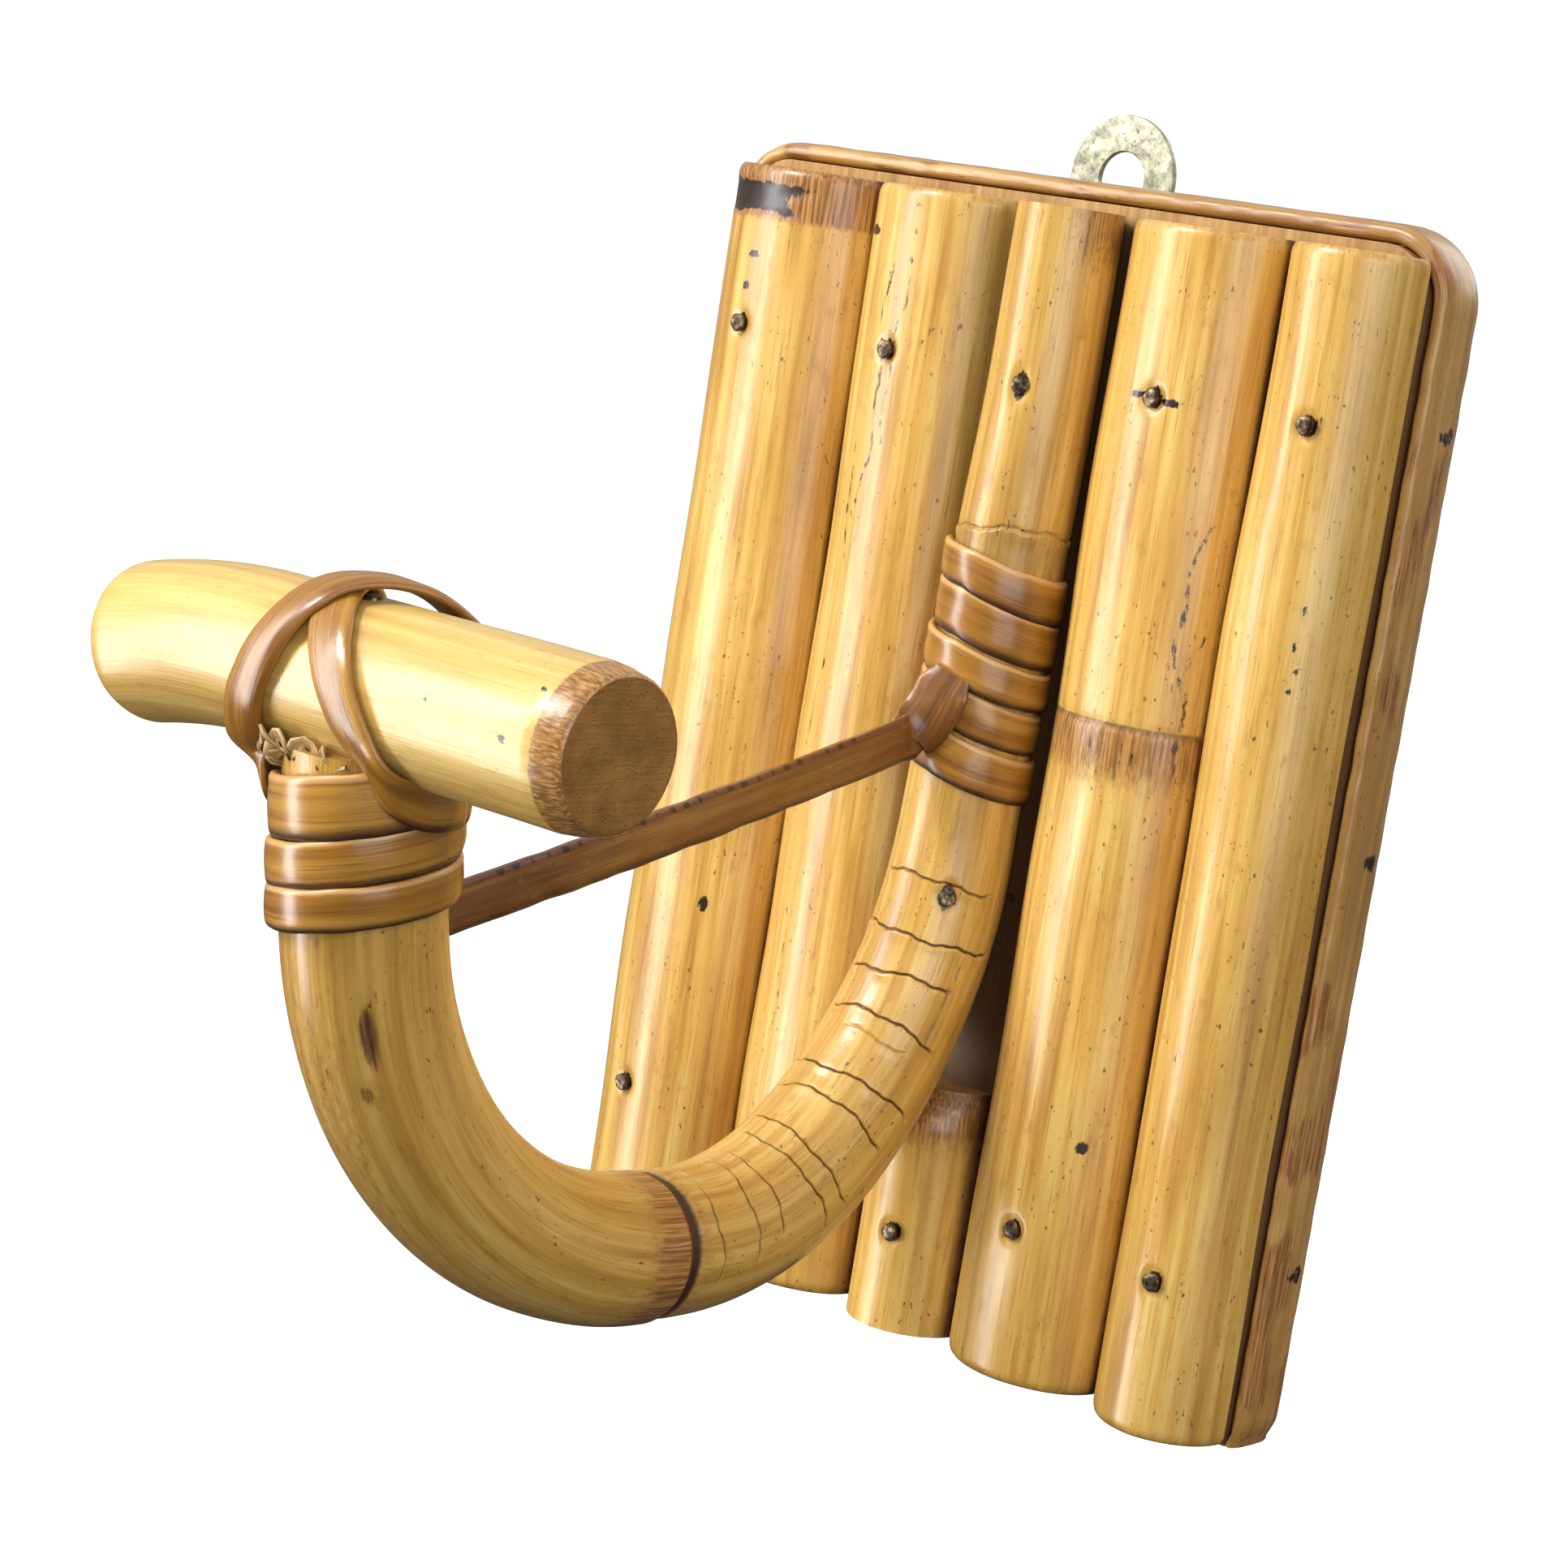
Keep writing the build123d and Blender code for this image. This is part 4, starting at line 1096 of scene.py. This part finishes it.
# ---------------------------------------------------------------- rim, nails and hanger
def edge_rim():
    """Bent strip round the board's top and sides."""
    half, radius = RIM_HIGH[0] - RIM_THICKNESS / 2, RIM_CORNER - RIM_THICKNESS / 2
    top = TOP_Z - RIM_THICKNESS / 2
    corner = np.radians(np.linspace(0, 90, 24))
    side_z = np.arange(FOOT_Z, top - radius, 0.9)
    x = [-half + 0 * side_z, -half + radius - radius * np.cos(corner)]
    z = [side_z, top - radius + radius * np.sin(corner)]
    out_x, out_z = [0 * side_z - 1, -np.cos(corner)], [0 * side_z, np.sin(corner)]
    top_x = np.arange(-half + radius + 0.9, half - radius, 0.9)
    x += [top_x, half - radius + radius * np.sin(corner), half + 0 * side_z]
    z += [top + 0 * top_x, top - radius + radius * np.cos(corner), side_z[::-1]]
    out_x += [0 * top_x, np.sin(corner), 0 * side_z + 1]
    out_z += [0 * top_x + 1, np.cos(corner), 0 * side_z]
    x, z, out_x, out_z = (np.concatenate(part) for part in (x, z, out_x, out_z))
    depth = -FRONT_Y
    centre = np.stack([x, np.full_like(x, FRONT_Y / 2), z], -1)
    outward = np.stack([out_x, 0 * x, out_z], -1)
    rows, straight, marks, _ = strip_rows(centre, outward, depth - 0.2, RIM_THICKNESS - 0.1, 17, 0.0, 0.10)
    from_foot = rows[..., 2] - FOOT_Z
    drawn = smoothstep(-0.5, 4.5, from_foot)
    rows[..., 0] -= np.sign(rows[..., 0]) * (1 - drawn) * 1.5 * (np.abs(rows[..., 0]) > half)
    patch = wobble(np.stack([rows[..., 0] * 0.1, rows[..., 1] * 0.2, rows[..., 2] * 0.08], -1), 1.0, 21)
    # The strip's dark marks at half strength: painted shade on the inner face, and darker front and back
    # edges
    marks[..., GRIME_AND_SHADE] *= 0.5
    lower_right = smoothstep(0, 30, -rows[..., 2]) * (rows[..., 0] > 0)
    stain(marks, RED, smoothstep(0.1, 0.45, patch + 0.25 * lower_right) * 0.75)
    for pin_x, pin_z in RIM_PINS:
        near = np.hypot(rows[..., 0] - pin_x, rows[..., 2] - pin_z)
        near = np.hypot(near, rows[..., 1] - PIN_Y)
        stain(marks, BURNT, 0.8 * falloff(1.0, 2.4, near))
    rows = np.clip(rows, RIM_LOW, RIM_HIGH)
    piece = loft_rows("edge_rim_skin", rows, RIM, PALE_END, straight, marks, sharp=60)
    return finish_piece(piece, "rim", "edge_rim")


PIN_Y = -3.6
RIM_PINS = [(side * 70.5, z) for side in (-1, 1) for z in (62.4, -1.0, -64.8)] + [(-36.0, 92.0), (36.0, 92.0)]
NAIL_PROFILE = [(0.10, -1.0, 0.0), (0.75, -1.0, 2.0), (0.75, 0, -0.1), (1.32, 0, 0.0), (1.45, 0, 0.22),
                (1.45, 0, 0.50), (1.30, 0, 0.74), (1.00, 0, 0.86), (0.55, 0, 0.80), (0.15, 0, 0.74)]
PIN_PROFILE = [(0.10, -1.0, 0.0), (0.60, -1.0, 1.4), (0.60, 0, -0.1), (1.00, 0, 0.0), (1.10, 0, 0.16),
               (1.05, 0, 0.34), (0.70, 0, 0.46), (0.15, 0, 0.46)]


def driven(profile, seat, direction, depth):
    """Rows of one nail; each profile step is (radius, share of the depth, height)."""
    direction = unit(direction)
    side = unit(np.cross(direction, [0.3, 0.4, 0.87]))
    other = np.cross(direction, side)
    turn = np.radians(np.arange(NAIL_SIDES) * 360 / NAIL_SIDES)
    ring = np.cos(turn)[:, None] * side + np.sin(turn)[:, None] * other
    lumps = 1 + 0.05 * np.sin(3 * turn + seat[0])[:, None] + 0.03 * np.sin(5 * turn + seat[2])[:, None]
    rows = []
    for radius, share, height in profile:
        rows.append(np.asarray(seat) + direction * (share * depth + height) + radius * ring * lumps)
    return np.array(rows)


def nail_group(name, slot, node, profile, nails):
    """All the nails of one CAD node as one piece; each nail is (seat, direction, depth)."""
    points, faces = [], []
    for seat, direction, depth in nails:
        rows = driven(profile, seat, direction, depth)
        faces += tube_faces(*rows.shape[:2], base=len(points))
        points += list(rows.reshape(-1, 3))
    piece = make_piece(name, points, faces, [NAIL_STEEL if slot == "nails" else GALVANISED], sharp=35)
    outward_check(piece)
    return finish_piece(piece, slot, node)


def seat_on_cane(node, x, z):
    """Nail seat on the round face of a half-round cane."""
    low, high = corners(node)
    half = (high[0] - low[0]) / 2
    across = (x - low[0] - half) / half
    return (x, FRONT_Y - (FRONT_Y - low[1]) * np.sqrt(1 - across**2) + SKIN_INSET, z)


def nails():
    """Every nail and pin: its head stands outward from its seat, its shank goes the other way."""
    outward = (0, -1, 0)
    for node, row in (("upper_cane_nails", 0), ("lower_cane_nails", 1)):
        seats = [seat_on_cane(cane, *told["nails"][row]) for cane, told in CANE_MARKS.items()]
        group = [(seat, outward, CANE_NAIL_DEPTH) for seat in seats]
        nail_group(node + "_set", "nails", node, NAIL_PROFILE, group)
    stub_seat = seat_on_cane("short_stub", *STUB_NAIL)
    nail_group("stub_nail_set", "nails", "stub_nail", NAIL_PROFILE, [(stub_seat, outward, CANE_NAIL_DEPTH)])
    hook = []
    for at, angle in HOOK_NAILS:
        centre, bend_out, radius = along_hook(np.array([at]))
        ring = np.cos(np.radians(angle)) * SIDEWAYS + np.sin(np.radians(angle)) * bend_out[0]
        hook.append((centre[0] + ring * (radius[0] - 0.55), ring, HOOK_NAIL_DEPTH))
    nail_group("hook_nails_set", "nails", "hook_nails", NAIL_PROFILE, hook)
    bar_seat = np.array([SLOT_X, BAR_Y, BAR_Z]) + POST_UP * (BAR_R - 0.6)
    nail_group("bar_nail_set", "nails", "bar_nail", NAIL_PROFILE, [(bar_seat, POST_UP, BAR_NAIL_DEPTH)])
    pins = []
    for x, z in RIM_PINS:
        out = (0, 0, 1) if abs(x) < 60 else (np.sign(x), 0, 0)
        pins.append((np.array([x, PIN_Y, z]) - 0.5 * np.array(out), out, RIM_PIN_DEPTH))
    nail_group("rim_pins_set", "nails", "rim_pins", PIN_PROFILE, pins)
    back = [((HANGER_X, -0.47, z), (0, 1, 0), HANGER_NAIL_DEPTH) for z in HANGER_NAIL_Z]
    nail_group("hanger_nails_set", "hanger_metal", "hanger_nails", PIN_PROFILE, back)


HANGER_X = 2.5
HANGER_Z = 93.0
HANGER_R = 9.99
HANGER_HOLE_R = 4.3
HANGER_THICKNESS = 1.2
TAB_HALF = 6.5
TAB_FOOT = HANGER_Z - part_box("hanger")[0].z / MM


def hanger():
    """Pressed sheet eye on a tab: its edges rolled soft, its face slightly dished round the hole."""
    corner = np.degrees(np.arctan2(TAB_FOOT, TAB_HALF))
    join = np.degrees(np.arctan2(np.sqrt(HANGER_R**2 - TAB_HALF**2), TAB_HALF))
    degrees = np.unique(np.concatenate([np.arange(0, 360, 3.0), [270 - (90 - corner), 270 + (90 - corner)],
                                        [180 + join, 360 - join]]))
    turn = np.radians(degrees)
    reach = np.full_like(turn, HANGER_R)
    down = np.sin(turn) < 0
    tab = np.minimum(TAB_HALF / np.maximum(np.abs(np.cos(turn)), 1e-6),
                     TAB_FOOT / np.maximum(-np.sin(turn), 1e-6))
    reach = np.where(down, np.maximum(reach, tab), reach)
    section = [(0.00, 0.25), (0.0, 0.75), (0.03, 0.95), (0.10, 1.0), (0.30, 1.0), (0.55, 1.0), (0.80, 1.0),
               (0.93, 1.0), (0.985, 0.9), (1.0, 0.7), (1.0, 0.3), (0.985, 0.1), (0.93, 0.0), (0.55, 0.0),
               (0.10, 0.0), (0.03, 0.05)]
    rows = []
    for angle, far in zip(turn, reach):
        ring = []
        for share, front in section:
            distance = HANGER_HOLE_R + (far - HANGER_HOLE_R) * share
            dish = 0.0
            if front == 1.0:
                dish = 0.14 * np.sin(np.pi * np.clip((distance - HANGER_HOLE_R) / 5.7, 0, 1))
            y = -HANGER_THICKNESS * front + dish
            ring.append((HANGER_X + distance * np.cos(angle), y, HANGER_Z + distance * np.sin(angle)))
        rows.append(ring)
    piece = loft_rows("hanger_plate", np.array(rows), GALVANISED, loop=True, sharp=45)
    return finish_piece(piece, "hanger_metal", "hanger")


def board():
    """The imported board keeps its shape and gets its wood."""
    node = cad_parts["backing_board"]
    node.data.materials.clear()
    node.data.materials.append(BOARD_WOOD)


# ---------------------------------------------------------------- stage, light and camera
def stage():
    """A plain pale floor far enough below that nothing on it touches the object."""
    steps = np.linspace(0, 2 * np.pi, FLOOR_SIDES, endpoint=False)
    points = [(FLOOR_R * np.cos(a), FLOOR_R * np.sin(a), FLOOR_Z) for a in steps]
    s = Shader("pale_floor")
    s.finish((0.92, 0.92, 0.915, 1), 0.9, specular=0.1)
    s.surface.inputs["Emission Color"].default_value = (1, 1, 1, 1)
    s.surface.inputs["Emission Strength"].default_value = 0.75
    floor = make_piece("floor", points, [tuple(range(FLOOR_SIDES))], [s.material])
    floor.visible_glossy = False
    floor.visible_diffuse = False


def soft_light(name, place, power, wide, tall, aim=(0.0, -0.07, 0.0)):
    """A rectangular soft box that faces the aim point; places and sizes are in metres."""
    lamp = bpy.data.lights.new(name, "AREA")
    lamp.shape = "RECTANGLE"
    lamp.energy = power
    lamp.size = wide
    lamp.size_y = tall
    holder = bpy.data.objects.new(name, lamp)
    bpy.context.scene.collection.objects.link(holder)
    holder.location = place
    holder.rotation_euler = (Vector(aim) - Vector(place)).to_track_quat("-Z", "Y").to_euler()


def lights():
    """A key, a tall window, a fill and a back light, over a pale surround that the camera sees as white."""
    soft_light("key", (-0.50, -0.85, 0.80), 9.5, 0.36, 0.36)
    soft_light("tall_window", (-0.70, -0.78, -0.05), 10.0, 0.26, 1.3)
    soft_light("fill", (0.95, -0.75, 0.25), 6.5, 0.9, 0.9)
    soft_light("back", (0.2, 1.0, 0.7), 4.0, 0.8, 0.8)
    world = bpy.data.worlds.new("studio")
    world.use_nodes = True
    tree = world.node_tree
    sky = tree.nodes["Background"]
    sky.inputs["Color"].default_value = (1, 1, 1, 1)
    way = tree.nodes.new("ShaderNodeTexCoord")
    parts = tree.nodes.new("ShaderNodeSeparateXYZ")
    height = tree.nodes.new("ShaderNodeMapRange")
    tree.links.new(way.outputs["Generated"], parts.inputs[0])
    tree.links.new(parts.outputs["Z"], height.inputs["Value"])
    for name, value in (("From Min", -0.35), ("From Max", 0.8), ("To Min", 0.05), ("To Max", 0.62)):
        height.inputs[name].default_value = value
    tree.links.new(height.outputs[0], sky.inputs["Strength"])
    seen = tree.nodes.new("ShaderNodeBackground")
    seen.inputs["Color"].default_value = (1, 1, 1, 1)
    seen.inputs["Strength"].default_value = 1.05
    path = tree.nodes.new("ShaderNodeLightPath")
    pick = tree.nodes.new("ShaderNodeMixShader")
    tree.links.new(path.outputs["Is Camera Ray"], pick.inputs[0])
    tree.links.new(sky.outputs[0], pick.inputs[1])
    tree.links.new(seen.outputs[0], pick.inputs[2])
    tree.links.new(pick.outputs[0], tree.nodes["World Output"].inputs["Surface"])
    bpy.context.scene.world = world
    bpy.context.scene.view_settings.view_transform = "Standard"


def camera():
    """A camera turned, dipped and rolled to the object's usual view."""
    turn, dip, roll = (np.radians(a) for a in (CAMERA_TURN, CAMERA_DIP, CAMERA_ROLL))
    ahead = np.array([-np.sin(turn) * np.cos(dip), np.cos(turn) * np.cos(dip), -np.sin(dip)])
    right = unit(np.cross(ahead, [0, 0, 1]))
    down = np.cross(ahead, right)
    image_right = np.cos(roll) * right - np.sin(roll) * down
    image_down = np.sin(roll) * right + np.cos(roll) * down
    lens = bpy.data.cameras.new("camera")
    lens.sensor_width = SENSOR
    lens.lens = LENS
    lens.clip_start = 0.01
    lens.clip_end = 100
    holder = bpy.data.objects.new("camera", lens)
    matrix = Matrix([list(column) for column in zip(image_right, -image_down, -ahead)]).to_4x4()
    matrix.translation = Vector(CAMERA_PLACE) * MM
    holder.matrix_world = matrix
    bpy.context.scene.collection.objects.link(holder)
    bpy.context.scene.camera = holder


camera()
stage()
lights()
board()
for seed, name in enumerate(CANE_MARKS, start=1):
    split_cane(name, seed)
short_stub()
hook_cane()
cross_bar()
post_binding()
shank_binding()
lower_lash()
upper_lash()
lash_tail()
brace_strap()
edge_rim()
nails()
hanger()
